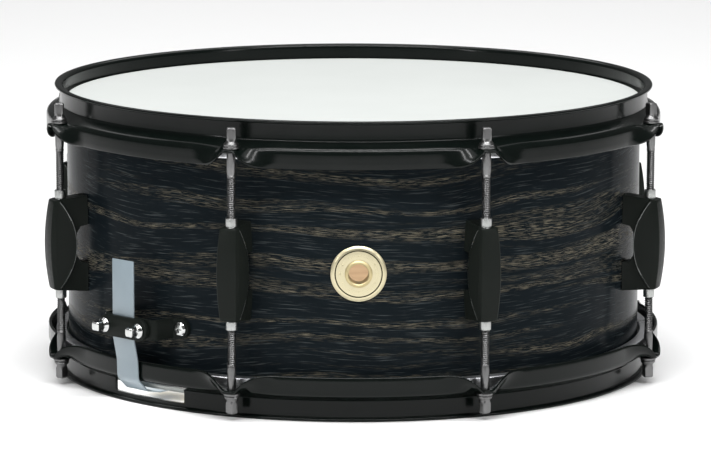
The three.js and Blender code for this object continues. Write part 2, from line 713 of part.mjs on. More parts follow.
// ---------------------------------------------------------------- snare wires and straps

const plateOuterEnd = wireHalf + END_PLATE_LENGTH;
const wiresWidth = WIRE_COUNT * WIRE_PITCH;

// The strap hangs from its clamp, passes outside the skirt and goes in through the gate under the head.
function strapGeometry(clampR) {
  const skirtR = skirtOuter + GAP + STRAP_THICKNESS;
  const path = [
    [clampR, skirtEnd + STRAP_RISE],
    [clampR, clampLow],
    [(clampR + skirtR) / 2 + 0.6, (clampLow + skirtEnd) / 2 - 3],
    [skirtR + 0.2, skirtEnd - 1],
    [skirtR, -earTop + 1],
    [skirtR - 0.7, -earTop - 2],
    [skirtR - 3.4, -earTop - 5.4],
    [hoopOuter + 2.6, strapInnerZ + 2.3],
    [hoopInner - 1, strapInnerZ + 0.7],
    [hoopInner - 8, strapInnerZ],
    [wireHalf + 1.5, strapInnerZ],
  ];
  return across(stripOutline(path, STRAP_THICKNESS), STRAP_WIDTH);
}

function endPlateGeometry() {
  const inner = wireHalf + GAP;
  return block(-wiresWidth / 2, wiresWidth / 2, inner, plateOuterEnd, plateUnderside, wireTop);
}

// Twenty coiled strands side by side, each taken as a ridge on a thin web.
function wiresGeometry() {
  const radius = WIRE_DIAMETER / 2;
  const middle = wireTop - radius;
  const web = WIRE_WEB / 2;
  const ridge = (i, side) => {
    const x = (i - (WIRE_COUNT - 1) / 2) * WIRE_PITCH;
    const gapHalf = (WIRE_PITCH - WIRE_DIAMETER * 0.9) / 2;
    return [
      [x - WIRE_PITCH / 2 + gapHalf, middle + side * web],
      [x, middle + side * radius],
      [x + WIRE_PITCH / 2 - gapHalf, middle + side * web],
    ];
  };
  const strands = Array.from({ length: WIRE_COUNT }, (_, i) => i);
  const lower = strands.flatMap((i) => ridge(i, -1));
  const upper = strands.flatMap((i) => ridge(i, 1)).reverse();
  const shape = new THREE.Shape([...lower, ...upper].map(vec2));
  const geometry = new THREE.ExtrudeGeometry(shape, { depth: 2 * wireHalf, bevelEnabled: false });
  return geometry.rotateX(Math.PI / 2).translate(0, wireHalf, 0);
}

add("snare_wires", wiresGeometry(), steelWire, buttStation);
add("snare_end_plate_butt", endPlateGeometry(), steelWire, buttStation);
add("snare_end_plate_strainer", endPlateGeometry(), steelWire, strainerStation);
const buttStrap = strapGeometry(strapButtR).translate(BUTT_STRAP_OFFSET, 0, 0);
add("butt_strap", buttStrap, strapPlastic, buttStation);
add("strainer_strap", strapGeometry(strapSlideR), strapPlastic, strainerStation);

// ---------------------------------------------------------------- throw-off

const slideHalf = strapHalf + SLIDE_MARGIN;
const channelHalf = slideHalf + GAP;
const cheekOuter = channelHalf + CHEEK_THICKNESS;
const pivotR = slideBack + PIVOT_DEPTH;
const baseBottom = skirtEnd + BASE_RISE;
const baseTop = baseBottom + BASE_HEIGHT;
const baseScrewHeights = [baseTop - BASE_SCREW_INSET, baseBottom + BASE_SCREW_INSET];
const pivotZ = baseTop - PIVOT_DROP;
const knobBottom = baseTop + KNOB_RISE;
const footHalfHeight = CLAMP_WIDTH / 2 + SLIDE_FOOT_MARGIN;
const cheekBottom = clampZ + footHalfHeight + CHEEK_CLEARANCE;
const slideBottom = clampZ - footHalfHeight - SLIDE_END;
const slideTop = slideBottom + SLIDE_HEIGHT;

function strainerBaseGeometry() {
  const plate = block(-cheekOuter, cheekOuter, baseBack, baseFront, baseBottom, baseTop);
  const cheekFront = baseBack + CHEEK_DEPTH;
  const outline = [
    [baseFront - 1, cheekBottom],
    [cheekFront - CHEEK_BEVEL, cheekBottom],
    [cheekFront, cheekBottom + 1.6 * CHEEK_BEVEL],
    [cheekFront, baseTop - 0.8 * CHEEK_BEVEL],
    [cheekFront - 0.8 * CHEEK_BEVEL, baseTop],
    [baseFront - 1, baseTop],
  ];
  const cheek = across(outline, CHEEK_THICKNESS);
  const cheekX = channelHalf + CHEEK_THICKNESS / 2;
  const body = join(plate, cheek.clone().translate(cheekX, 0, 0), cheek.clone().translate(-cheekX, 0, 0));
  const pivotHole = crossBar(PIVOT_DIAMETER + 2 * GAP, -cheekOuter - 5, cheekOuter + 5, pivotR, pivotZ);
  const screwHoles = baseScrewHeights.map((z) => {
    return peg(MOUNT_SCREW_SHANK + 2 * GAP, baseBack - 5, baseFront + 5, 0, z);
  });
  return cut(body, pivotHole, ...screwHoles);
}
add("strainer_base", strainerBaseGeometry(), blackSatin, strainerStation);

const strainerScrew = mountScrewGeometry(baseFront + GAP);
baseScrewHeights.forEach((z, i) => {
  add(`strainer_mount_screw_${i + 1}`, strainerScrew.clone().translate(0, 0, z), chrome, strainerStation);
});

function slideGeometry() {
  const stem = block(-slideHalf, slideHalf, slideBack, slideFront, slideBottom, slideTop);
  const footBack = slideBack + SLIDE_FOOT_STEP;
  const footLow = clampZ - footHalfHeight;
  const foot = block(-clampHalf, clampHalf, footBack, slideFront, footLow, clampZ + footHalfHeight);
  const holeBottom = slideTop - KNOB_STEM_DEPTH - 4;
  const stemHole = bar(KNOB_STEM + 2 * GAP, holeBottom, slideTop + 5).translate(0, -pivotR, 0);
  return cut(join(stem, foot), stemHole, ...clampHoles(slideFront - 6, slideFront + 5));
}
add("strainer_slide", slideGeometry(), blackSatin, strainerStation);
addClamp("strainer", strapSlideR, strainerStation);

// The lever's two arms pivot outside the cheeks and carry the grip across the front.
function leverGeometry() {
  const inner = cheekOuter + GAP;
  const outer = inner + LEVER_ARM;
  const gripBack = pivotR + KNOB_DIAMETER / 2 + LEVER_KNOB_CLEARANCE;
  const gripFront = gripBack + LEVER_GRIP;
  const gripStart = pivotZ + LEVER_GRIP_START;
  const outline = [
    [pivotR - LEVER_HUB, pivotZ - 0.75 * LEVER_HUB],
    [pivotR, pivotZ - 1.25 * LEVER_HUB],
    [pivotR + LEVER_HUB, pivotZ - 0.75 * LEVER_HUB],
    [gripFront, gripStart - LEVER_HUB],
    [gripFront, gripStart + 2 * LEVER_HUB],
    [gripBack, gripStart + 2 * LEVER_HUB],
    [pivotR - LEVER_HUB, pivotZ + 1.5 * LEVER_HUB],
  ];
  const arm = across(outline, LEVER_ARM);
  const armX = inner + LEVER_ARM / 2;
  const grip = block(-outer, outer, gripBack, gripFront, gripStart, gripStart + LEVER_GRIP_HEIGHT);
  const body = join(grip, arm.clone().translate(armX, 0, 0), arm.clone().translate(-armX, 0, 0));
  return cut(body, crossBar(PIVOT_DIAMETER + 2 * GAP, -outer - 5, outer + 5, pivotR, pivotZ));
}
add("throw_off_lever", leverGeometry(), blackSatin, strainerStation);

const pivotScrewOuter = cheekOuter + GAP + LEVER_ARM + GAP;
[-1, 1].forEach((side, i) => {
  const ends = (a, b) => [Math.min(side * a, side * b), Math.max(side * a, side * b)];
  const [s0, s1] = ends(channelHalf + 0.5, pivotScrewOuter + 0.1);
  const [h0, h1] = ends(pivotScrewOuter, pivotScrewOuter + 1.6);
  const shank = crossBar(PIVOT_DIAMETER, s0, s1, pivotR, pivotZ);
  const head = crossBar(PIVOT_DIAMETER + 3.6, h0, h1, pivotR, pivotZ, 16);
  add(`lever_pivot_screw_${i + 1}`, join(shank, head), chrome, strainerStation);
});

function knobGeometry() {
  const radius = KNOB_DIAMETER / 2;
  const top = knobBottom + KNOB_HEIGHT;
  const grip = turned(
    [
      [0, knobBottom],
      [radius - 1, knobBottom],
      [radius, knobBottom + 1],
      [radius, top - 1.2],
      [radius - 1.2, top],
      [0, top],
    ],
    20,
  );
  const stem = bar(KNOB_STEM, slideTop - KNOB_STEM_DEPTH, knobBottom + 0.1, 10);
  return join(grip, stem).translate(0, -pivotR, 0);
}
add("tension_knob", knobGeometry(), blackNickel, strainerStation);

export default drum;
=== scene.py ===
"""Looks of a 14 inch snare drum around its CAD frame: stained oak shell, pressed black hoops, bridge lugs,
tension rods, butt end, throw-off and coiled snares.

Shapes are drawn in millimetres in a station frame: the drum's axis is Z, the shell's mid-depth is z = 0 and
-Y points outwards. new_mesh() turns millimetres into the frame's metres, and place() turns a piece to its
angle round the drum, counted from -Y towards +X. "r" is the distance from the drum's axis.
"""
import json
import math

import bmesh
import bpy
import numpy as np
from mathutils import Matrix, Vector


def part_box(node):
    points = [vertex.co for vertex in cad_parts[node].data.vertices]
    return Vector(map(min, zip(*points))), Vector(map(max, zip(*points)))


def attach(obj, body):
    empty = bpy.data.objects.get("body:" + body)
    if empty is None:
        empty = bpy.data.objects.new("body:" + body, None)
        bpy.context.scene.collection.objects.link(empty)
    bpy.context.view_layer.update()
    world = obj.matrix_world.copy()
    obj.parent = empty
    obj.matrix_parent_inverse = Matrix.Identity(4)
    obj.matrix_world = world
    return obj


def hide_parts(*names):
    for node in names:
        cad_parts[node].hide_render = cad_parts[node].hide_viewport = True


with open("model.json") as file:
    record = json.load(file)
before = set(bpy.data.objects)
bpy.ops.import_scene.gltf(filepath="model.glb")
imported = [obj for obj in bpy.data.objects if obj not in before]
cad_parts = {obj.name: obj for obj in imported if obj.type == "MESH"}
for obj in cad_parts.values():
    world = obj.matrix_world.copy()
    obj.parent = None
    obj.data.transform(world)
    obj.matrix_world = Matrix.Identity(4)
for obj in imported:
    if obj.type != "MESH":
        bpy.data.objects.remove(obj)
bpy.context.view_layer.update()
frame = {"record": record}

MM = 0.001


# ---- sizes, read from the frame

def box_mm(node):
    low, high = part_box(node)
    return low / MM, high / MM


shell_low, shell_high = box_mm("shell")
hoop_low, hoop_high = box_mm("batter_hoop")
flesh_low, flesh_high = box_mm("batter_flesh_hoop")
clamp_low, clamp_high = box_mm("butt_clamp_plate")

MID = (shell_low.z + shell_high.z) / 2  # height of the shell's mid-depth above the floor
SHELL_R = shell_high.x
EDGE = shell_high.z - MID
SHELL_WALL = 6.4
LIP = hoop_high.z - MID
SKIRT_R = hoop_high.x
SKIRT_END = hoop_low.z - MID
FLESH_R = flesh_high.x
FLESH_TOP = flesh_high.z - MID
FLESH_END = flesh_low.z - MID
FILM_TOP = EDGE + 0.7

HOOP_SHEET = 2.0
HOOP_WALL_R = SKIRT_R - 9.2  # middle of the wall's sheet
EAR_TOP = LIP - 16.5
ROD_JOINT = frame["record"]["behaviour"]["joints"][0]
ROD_R = math.hypot(*ROD_JOINT["pos_m"][:2]) / MM  # the rods turn on this circle
LUG_ANGLES = [22.5 + 45 * i for i in range(8)]
LUG_DROP = 1.6
BUTT_ANGLE = -44.5
STRAINER_ANGLE = BUTT_ANGLE + 180


# ---- outlines

def arc(cx, cy, radius, start, end, steps):
    """Points on an arc, from one angle in degrees to another."""
    angles = np.radians(np.linspace(start, end, steps + 1))
    return [(cx + radius * math.cos(a), cy + radius * math.sin(a)) for a in angles]


def circle(cx, cy, radius, sides=24):
    """The closed outline of a round hole or pin."""
    return arc(cx, cy, radius, 0, 360 - 360 / sides, sides - 1)


def fillet(points, radii, steps=5, closed=False):
    """A polyline whose corners are arcs. radii is one value, or one for each point."""
    pts = [np.array(p, float) for p in points]
    count = len(pts)
    if np.isscalar(radii):
        radii = [radii] * count
    out = []
    for i, here in enumerate(pts):
        if not closed and i in (0, count - 1) or radii[i] == 0:
            out.append(tuple(here))
            continue
        back = pts[i - 1] - here
        ahead = pts[(i + 1) % count] - here
        back_len, ahead_len = np.linalg.norm(back), np.linalg.norm(ahead)
        back, ahead = back / back_len, ahead / ahead_len
        half = math.acos(max(-1.0, min(1.0, float(back @ ahead)))) / 2
        reach = min(radii[i] / max(math.tan(half), 1e-6), 0.49 * back_len, 0.49 * ahead_len)
        start, end = here + back * reach, here + ahead * reach
        for t in np.linspace(0, 1, steps + 1):
            out.append(tuple((1 - t) ** 2 * start + 2 * t * (1 - t) * here + t ** 2 * end))
    return out


def strip(path, thickness, end_steps=3):
    """The closed outline of a sheet of even thickness along a path, with rounded ends."""
    pts = np.array(path, float)
    along = np.gradient(pts, axis=0)
    along /= np.linalg.norm(along, axis=1)[:, None]
    normal = np.stack([-along[:, 1], along[:, 0]], axis=1) * thickness / 2
    left, right = pts + normal, pts - normal

    def cap(centre, side, forward):
        turns = np.linspace(0, math.pi, end_steps + 2)[1:-1]
        return [centre + side * math.cos(a) + forward * math.sin(a) for a in turns]

    half = thickness / 2
    end_cap = cap(pts[-1], normal[-1], along[-1] * half)
    start_cap = cap(pts[0], -normal[0], -along[0] * half)
    return [tuple(p) for p in [*left, *end_cap, *right[::-1], *start_cap]]


def rounded_box(x0, x1, y0, y1, radius, steps=4):
    return fillet([(x0, y0), (x1, y0), (x1, y1), (x0, y1)], radius, steps, closed=True)


# ---- meshes

def new_mesh(name, points, faces, sharp=35):
    """A mesh in metres from points in millimetres about the mid-depth. Edges over the angle stay sharp."""
    mesh = bpy.data.meshes.new(name)
    points = np.array(points, float) + np.array([0, 0, MID])
    mesh.from_pydata((points * MM).tolist(), [], faces)
    finish_mesh(mesh, sharp)
    return mesh


def finish_mesh(mesh, sharp=35):
    mesh.validate()
    mesh.polygons.foreach_set("use_smooth", [True] * len(mesh.polygons))
    mesh.set_sharp_from_angle(angle=math.radians(sharp))
    mesh.update()


def skin(rings, loop=False):
    """Points and faces over rings with equal counts. Ends are capped, or the last ring meets the first."""
    count, rows = len(rings[0]), len(rings)
    points = [p for ring in rings for p in ring]
    faces = []
    for i in range(rows if loop else rows - 1):
        here, ahead = i * count, (i + 1) % rows * count
        for j in range(count):
            k = (j + 1) % count
            faces.append((here + j, here + k, ahead + k, ahead + j))
    if not loop:
        faces.append(tuple(range(count))[::-1])
        faces.append(tuple(range((rows - 1) * count, rows * count)))
    return points, faces


def facing_out(points, faces):
    """The faces, turned over if they enclose a negative volume."""
    pts = np.array(points, float)
    volume = 0.0
    for face in faces:
        a = pts[face[0]]
        for j in range(1, len(face) - 1):
            volume += float(a @ np.cross(pts[face[j]], pts[face[j + 1]]))
    return faces if volume > 0 else [tuple(f[::-1]) for f in faces]


def solid(name, rings, sharp, loop=False):
    """A mesh over rings of points, facing outwards."""
    points, faces = skin(rings, loop)
    return new_mesh(name, points, facing_out(points, faces), sharp)


def turned(name, outline, segments=96, centre=(0, 0), sharp=35):
    """A mesh turned about a vertical axis through centre, from a closed outline in (r, z)."""
    rings = []
    for a in np.arange(segments) * 2 * math.pi / segments:
        rings.append([(r * math.sin(a), -r * math.cos(a), z) for r, z in outline])
    points, faces = skin(rings, loop=True)
    points = np.array(points) + np.array([centre[0], centre[1], 0])
    return welded(new_mesh(name, points, facing_out(points, faces), sharp), sharp)


def welded(mesh, sharp=35):
    """The mesh with doubled points joined, such as those on the axis of a turned piece."""
    work = bmesh.new()
    work.from_mesh(mesh)
    bmesh.ops.remove_doubles(work, verts=work.verts, dist=1e-7)
    bmesh.ops.dissolve_degenerate(work, edges=work.edges, dist=1e-8)
    work.to_mesh(mesh)
    work.free()
    finish_mesh(mesh, sharp)
    return mesh


def prism(name, outline, low, high, to_station, bevel=0.0, sharp=35):
    """An outline pushed from low to high, its rims bevelled. to_station turns (u, v, w) into a point."""
    pts = np.array(outline, float)
    steps = [(low, bevel), (low + bevel * 0.3, bevel * 0.3), (low + bevel, 0)] if bevel else [(low, 0)]
    steps += [(high - (level - low), inset) for level, inset in steps[::-1]]
    area = 0.5 * float(np.sum(pts[:, 0] * np.roll(pts[:, 1], -1) - np.roll(pts[:, 0], -1) * pts[:, 1]))
    along = np.roll(pts, -1, axis=0) - np.roll(pts, 1, axis=0)
    length = np.linalg.norm(along, axis=1)
    length[length == 0] = 1
    inward = np.stack([-along[:, 1], along[:, 0]], axis=1) / length[:, None] * (1 if area > 0 else -1)
    rings = [[to_station(u, v, level) for u, v in pts + inward * inset] for level, inset in steps]
    return solid(name, rings, sharp)


def across(u, v, w):
    """Outline in (r, z), pushed along x."""
    return (w, -u, v)


def upright(u, v, w):
    """Outline in (x, r), pushed along z."""
    return (u, -v, w)


def outward(u, v, w):
    """Outline in (x, z), pushed along r."""
    return (u, -w, v)


def shifted(mesh, x=0.0, r=0.0, z=0.0):
    copy = mesh.copy()
    copy.transform(Matrix.Translation((x * MM, -r * MM, z * MM)))
    return copy


def turned_to(mesh, degrees):
    copy = mesh.copy()
    copy.transform(Matrix.Rotation(math.radians(degrees), 4, "Z"))
    return copy


def turned_over(mesh):
    """The same piece on the other side of the drum."""
    copy = mesh.copy()
    middle = Matrix.Translation((0, 0, MID * MM))
    copy.transform(middle @ Matrix.Rotation(math.pi, 4, "Y") @ middle.inverted())
    return copy


def joined(name, meshes, sharp=35):
    """Several meshes as one."""
    points, faces = [], []
    for mesh in meshes:
        base = len(points)
        points += [tuple(v.co) for v in mesh.vertices]
        faces += [tuple(base + i for i in p.vertices) for p in mesh.polygons]
    made = bpy.data.meshes.new(name)
    made.from_pydata(points, [], faces)
    finish_mesh(made, sharp)
    return made


def combined(mesh, tools, operation="DIFFERENCE", sharp=35):
    """The mesh after a boolean with other meshes."""
    body = bpy.data.objects.new("boolean_body", mesh)
    bpy.context.scene.collection.objects.link(body)
    helpers = []
    for tool in tools:
        helper = bpy.data.objects.new("boolean_tool", tool)
        bpy.context.scene.collection.objects.link(helper)
        modifier = body.modifiers.new("boolean", "BOOLEAN")
        modifier.operation = operation
        modifier.solver = "EXACT"
        modifier.object = helper
        helpers.append(helper)
    graph = bpy.context.evaluated_depsgraph_get()
    made = bpy.data.meshes.new_from_object(body.evaluated_get(graph))
    made.name = mesh.name
    for o in [body, *helpers]:
        bpy.data.objects.remove(o)
    finish_mesh(made, sharp)
    return made


def place(name, mesh, material, body="drum_body", angle=0.0, replaces=()):
    """Puts a mesh in the scene as a piece, turned to its angle round the drum."""
    piece = bpy.data.objects.new(name, mesh)
    if not mesh.materials:
        mesh.materials.append(material)
    bpy.context.scene.collection.objects.link(piece)
    piece.rotation_euler.z = math.radians(angle)
    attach(piece, body)
    if replaces:
        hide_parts(*replaces)


def stand_in(node, mesh, material, body="drum_body", angle=0.0):
    """Places the finer piece that takes a CAD node's place."""
    place(f"{node}_fine", mesh, material, body, angle, [node])


# ---- materials

class Look:
    """A Principled material and short ways to add its nodes."""

    def __init__(self, name, color, roughness, metallic=0.0, **sockets):
        self.material = bpy.data.materials.new(name)
        self.material.use_nodes = True
        self.tree = self.material.node_tree
        self.shader = self.tree.nodes["Principled BSDF"]
        self.set("Base Color", (*color, 1))
        self.set("Roughness", roughness)
        self.set("Metallic", metallic)
        for socket, value in sockets.items():
            self.set(socket.replace("_", " "), value)
        self.place = self.node("ShaderNodeTexCoord").outputs["Object"]

    def set(self, socket, value):
        target = self.shader.inputs[socket]
        if isinstance(value, bpy.types.NodeSocket):
            self.tree.links.new(value, target)
        else:
            target.default_value = value

    def node(self, kind, inputs=None, **settings):
        made = self.tree.nodes.new(kind)
        for key, value in settings.items():
            setattr(made, key, value)
        for key, value in (inputs or {}).items():
            if isinstance(value, bpy.types.NodeSocket):
                self.tree.links.new(value, made.inputs[key])
            else:
                made.inputs[key].default_value = value
        return made

    def math(self, operation, a, b=0.0):
        return self.node("ShaderNodeMath", {0: a, 1: b}, operation=operation).outputs[0]

    def spread(self, vector, scale):
        """The vector, multiplied by a scale on each axis."""
        inputs = {0: vector, 1: scale}
        return self.node("ShaderNodeVectorMath", inputs, operation="MULTIPLY").outputs[0]

    def noise(self, vector, scale, detail=3.0, roughness=0.5, distortion=0.0):
        inputs = {"Vector": vector, "Scale": scale, "Detail": detail, "Roughness": roughness}
        inputs["Distortion"] = distortion
        return self.node("ShaderNodeTexNoise", inputs).outputs["Fac"]

    def ramp(self, value, low, high, to_low=0.0, to_high=1.0):
        inputs = {"Value": value, "From Min": low, "From Max": high, "To Min": to_low, "To Max": to_high}
        return self.node("ShaderNodeMapRange", inputs).outputs["Result"]

    def mix(self, factor, a, b):
        """From color a to color b as factor rises. Each is a socket or three numbers."""
        inputs = {0: factor}
        for key, color in ((6, a), (7, b)):
            inputs[key] = color if isinstance(color, bpy.types.NodeSocket) else (*color, 1)
        return self.node("ShaderNodeMix", inputs, data_type="RGBA").outputs[2]

    def bump(self, height, strength, distance):
        inputs = {"Height": height, "Strength": strength, "Distance": distance}
        self.set("Normal", self.node("ShaderNodeBump", inputs).outputs["Normal"])


def round_the_drum(look, radius_m):
    """Coordinates on the drum's side: the way round it in metres, and the height."""
    xyz = look.node("ShaderNodeSeparateXYZ", {0: look.place})
    back = look.math("MULTIPLY", xyz.outputs["Y"], -1)
    angle = look.math("ARCTAN2", xyz.outputs["X"], back)
    inputs = {0: look.math("MULTIPLY", angle, radius_m), 1: xyz.outputs["Z"], 2: 0.0}
    return look.node("ShaderNodeCombineXYZ", inputs).outputs[0]


def stained_oak():
    look = Look("stained_oak", (0.01, 0.012, 0.017), 0.36, IOR=1.08)
    side = round_the_drum(look, SHELL_R * MM)
    wave = look.noise(look.spread(side, (4.0, 11.0, 1.0)), 1.0, 2.0)
    lift = look.ramp(wave, 0.0, 1.0, -0.022, 0.022)
    up = look.node("ShaderNodeCombineXYZ", {0: 0.0, 1: lift, 2: 0.0}).outputs[0]
    grain = look.node("ShaderNodeVectorMath", {0: side, 1: up}, operation="ADD").outputs[0]
    rings = look.noise(look.spread(grain, (2.2, 85.0, 1.0)), 1.0, 3.0, 0.55)
    band = look.ramp(rings, 0.5, 0.61)
    pores = look.noise(look.spread(grain, (110.0, 2500.0, 1.0)), 1.0, 3.0, 0.6)
    open_pores = look.math("MULTIPLY", look.ramp(pores, 0.515, 0.595), band)
    threads = look.noise(look.spread(grain, (42.0, 1300.0, 1.0)), 1.0, 3.0, 0.6)
    fine = look.ramp(threads, 0.57, 0.66)
    patches = look.noise(look.spread(side, (30.0, 160.0, 1.0)), 1.0, 2.0)
    field = look.mix(patches, (0.0045, 0.007, 0.0085), (0.0085, 0.012, 0.0145))
    threaded = look.mix(look.math("MULTIPLY", fine, 0.55), field, (0.07, 0.08, 0.082))
    flecks = look.noise(look.spread(side, (50.0, 400.0, 1.0)), 1.0)
    tan = look.mix(flecks, (0.045, 0.042, 0.03), (0.24, 0.212, 0.155))
    look.set("Base Color", look.mix(open_pores, threaded, tan))
    look.set("Roughness", look.ramp(open_pores, 0.0, 1.0, 0.22, 0.5))
    look.bump(look.math("SUBTRACT", 1.0, open_pores), 0.35, 0.0002)
    return look.material


def raw_oak():
    look = Look("raw_wood", (0.5, 0.33, 0.19), 0.7)
    side = round_the_drum(look, SHELL_R * MM)
    streaks = look.noise(look.spread(side, (20.0, 500.0, 1.0)), 1.0, 4.0)
    look.set("Base Color", look.mix(streaks, (0.42, 0.26, 0.14), (0.66, 0.47, 0.29)))
    return look.material


def black_gloss():
    look = Look("black_gloss", (0.0028, 0.0045, 0.0038), 0.14, IOR=1.27)
    cloud = look.noise(look.place, 60.0, 3.0)
    look.set("Roughness", look.ramp(cloud, 0.3, 0.7, 0.13, 0.24))
    look.bump(look.noise(look.place, 380.0, 2.0), 0.06, 0.0003)
    return look.material


def satin_black(name="satin_black", color=(0.0085, 0.0105, 0.009), roughness=0.36):
    look = Look(name, color, roughness, IOR=1.17)
    cloud = look.noise(look.place, 500.0)
    look.set("Roughness", look.ramp(cloud, 0.3, 0.7, roughness - 0.07, roughness + 0.08))
    look.bump(look.noise(look.place, 2600.0, 2.0), 0.12, 0.0001)
    return look.material


def metal(name, color, roughness, spread=0.08):
    """Plated or drawn metal with a slightly uneven sheen."""
    look = Look(name, color, roughness, 1.0)
    cloud = look.noise(look.place, 700.0, 3.0)
    look.set("Roughness", look.ramp(cloud, 0.3, 0.7, max(roughness - spread, 0.02), roughness + spread))
    dark = tuple(0.8 * c for c in color)
    look.set("Base Color", look.mix(look.noise(look.place, 120.0), dark, color))
    return look.material


def drawn_aluminium():
    look = Look("drawn_aluminium", (0.72, 0.73, 0.75), 0.3, 1.0)
    side = round_the_drum(look, SHELL_R * MM)
    lines = look.noise(look.spread(side, (12.0, 4200.0, 1.0)), 1.0, 3.0)
    look.set("Roughness", look.ramp(lines, 0.3, 0.7, 0.2, 0.42))
    look.bump(lines, 0.15, 0.0001)
    return look.material


def coated_film():
    look = Look("coated_film", (0.52, 0.54, 0.525), 0.7, Specular_IOR_Level=0.3)
    speckle = look.noise(look.place, 1500.0, 4.0, 0.65)
    cloud = look.noise(look.place, 14.0, 2.0)
    look.set("Base Color", look.mix(cloud, (0.44, 0.458, 0.445), (0.485, 0.503, 0.49)))
    look.bump(speckle, 0.3, 0.0002)
    return look.material


def hazy_film():
    look = Look("hazy_film", (0.78, 0.78, 0.74), 0.35)
    cloud = look.noise(look.place, 40.0, 3.0)
    look.set("Base Color", look.mix(cloud, (0.72, 0.71, 0.66), (0.84, 0.84, 0.8)))
    look.set("Roughness", look.ramp(cloud, 0.3, 0.7, 0.28, 0.45))
    return look.material


def strap_plastic():
    look = Look("strap_plastic", (0.36, 0.42, 0.48), 0.38, Coat_Weight=0.3, Coat_Roughness=0.2)
    cloud = look.noise(look.spread(look.place, (40.0, 40.0, 14.0)), 1.0, 3.0)
    look.set("Base Color", look.mix(cloud, (0.21, 0.262, 0.295), (0.26, 0.315, 0.35)))
    look.bump(look.noise(look.place, 900.0), 0.05, 0.0002)
    return look.material


def brushed_badge():
    """Pale gold with faint rings from the lathe."""
    look = Look("badge_gold", (0.74, 0.64, 0.43), 0.28, 1.0)
    xyz = look.node("ShaderNodeSeparateXYZ", {0: look.place})
    height = look.math("SUBTRACT", xyz.outputs["Z"], (MID - LUG_DROP) * MM)
    inputs = {0: xyz.outputs["X"], 1: height, 2: 0.0}
    flat = look.node("ShaderNodeCombineXYZ", inputs).outputs[0]
    radius = look.node("ShaderNodeVectorMath", {0: flat}, operation="LENGTH").outputs["Value"]
    rings = look.noise(look.node("ShaderNodeCombineXYZ", {0: radius}).outputs[0], 9000.0, 2.0)
    look.set("Roughness", look.ramp(rings, 0.3, 0.7, 0.24, 0.42))
    look.set("Base Color", look.mix(rings, (0.56, 0.5, 0.32), (0.66, 0.6, 0.42)))
    return look.material


OAK = stained_oak()
RAW = raw_oak()
BLACK = black_gloss()
SATIN = satin_black()
NICKEL = metal("black_nickel", (0.2, 0.2, 0.2), 0.36)
# A bright metal for a thin line along each lug's crease: a painted highlight standing in for the light that
# the rounded crease catches, not wear.
CREASE_HIGHLIGHT = metal("painted_crease_highlight", (0.17, 0.18, 0.175), 0.3)
CHROME = metal("chrome", (0.62, 0.63, 0.62), 0.12, spread=0.04)
BRIGHT = metal("bright_nickel", (0.46, 0.47, 0.46), 0.34)
ALUMINIUM = drawn_aluminium()
COATED = coated_film()
HAZY = hazy_film()
STRAP = strap_plastic()
GOLD = brushed_badge()
YELLOW_GOLD = metal("yellow_gold", (0.62, 0.52, 0.29), 0.42)
ENAMEL = satin_black("groove_enamel", (0.05, 0.045, 0.02), 0.4)
WIRE = metal("snare_steel", (0.62, 0.62, 0.63), 0.28)
BRASS = metal("plate_brass", (0.7, 0.56, 0.3), 0.32)


# ---- shell, badge and vent

VENT_R = 5.8
GROMMET_R = 6.8
GRIP_R = 8.1  # the grommet's rims, which hold the badge and the shell between them
BADGE_R = 16.5
GROOVE_R = 13.7
GROOVE_HALF = 0.35
BEAD_R = 0.55
BEAD_RING_R = 10.8
BEADS = 12
ROUND = 288  # segments of the large turned pieces


def make_shell():
    """The shell with its bearing edges and vent. Only its outside and its edges' outer part are stained."""
    inner = SHELL_R - SHELL_WALL
    crest = 2.2
    stain_depth = 1.2
    bevel = SHELL_WALL - crest
    corners = [
        (SHELL_R, -EDGE), (SHELL_R, EDGE), (inner + bevel, EDGE), (inner, EDGE - bevel),
        (inner, -EDGE + bevel), (inner + bevel, -EDGE),
    ]
    outline = fillet(corners, [1.4, 1.4, 0.4, 0.6, 0.6, 0.4], 4, closed=True)
    mesh = turned("shell_fine", outline, ROUND)
    vent = circle(0, -LUG_DROP, GROMMET_R + 0.2, 48)
    drill = prism("drill", vent, SHELL_R - 15, SHELL_R + 10, outward)
    mesh = combined(mesh, [drill])
    mesh.materials.append(OAK)
    mesh.materials.append(RAW)
    for face in mesh.polygons:
        x, y = face.center.x / MM, face.center.y / MM
        if math.hypot(x, y) < SHELL_R - stain_depth:
            face.material_index = 1
    stand_in("shell", mesh, OAK)


def wrap_on_shell(mesh):
    """Bends a piece drawn flat on y = 0 so that it lies on the shell."""
    for v in mesh.vertices:
        v.co.y -= math.sqrt((SHELL_R * MM) ** 2 - v.co.x ** 2)


def facing_front(mesh):
    """A mesh turned about Z becomes one turned about the outward direction, at the badge's height."""
    mesh.transform(Matrix.Translation((0, 0, -MID * MM)))
    mesh.transform(Matrix.Rotation(math.pi / 2, 4, "X"))
    mesh.transform(Matrix.Translation((0, 0, (MID - LUG_DROP) * MM)))
    return mesh


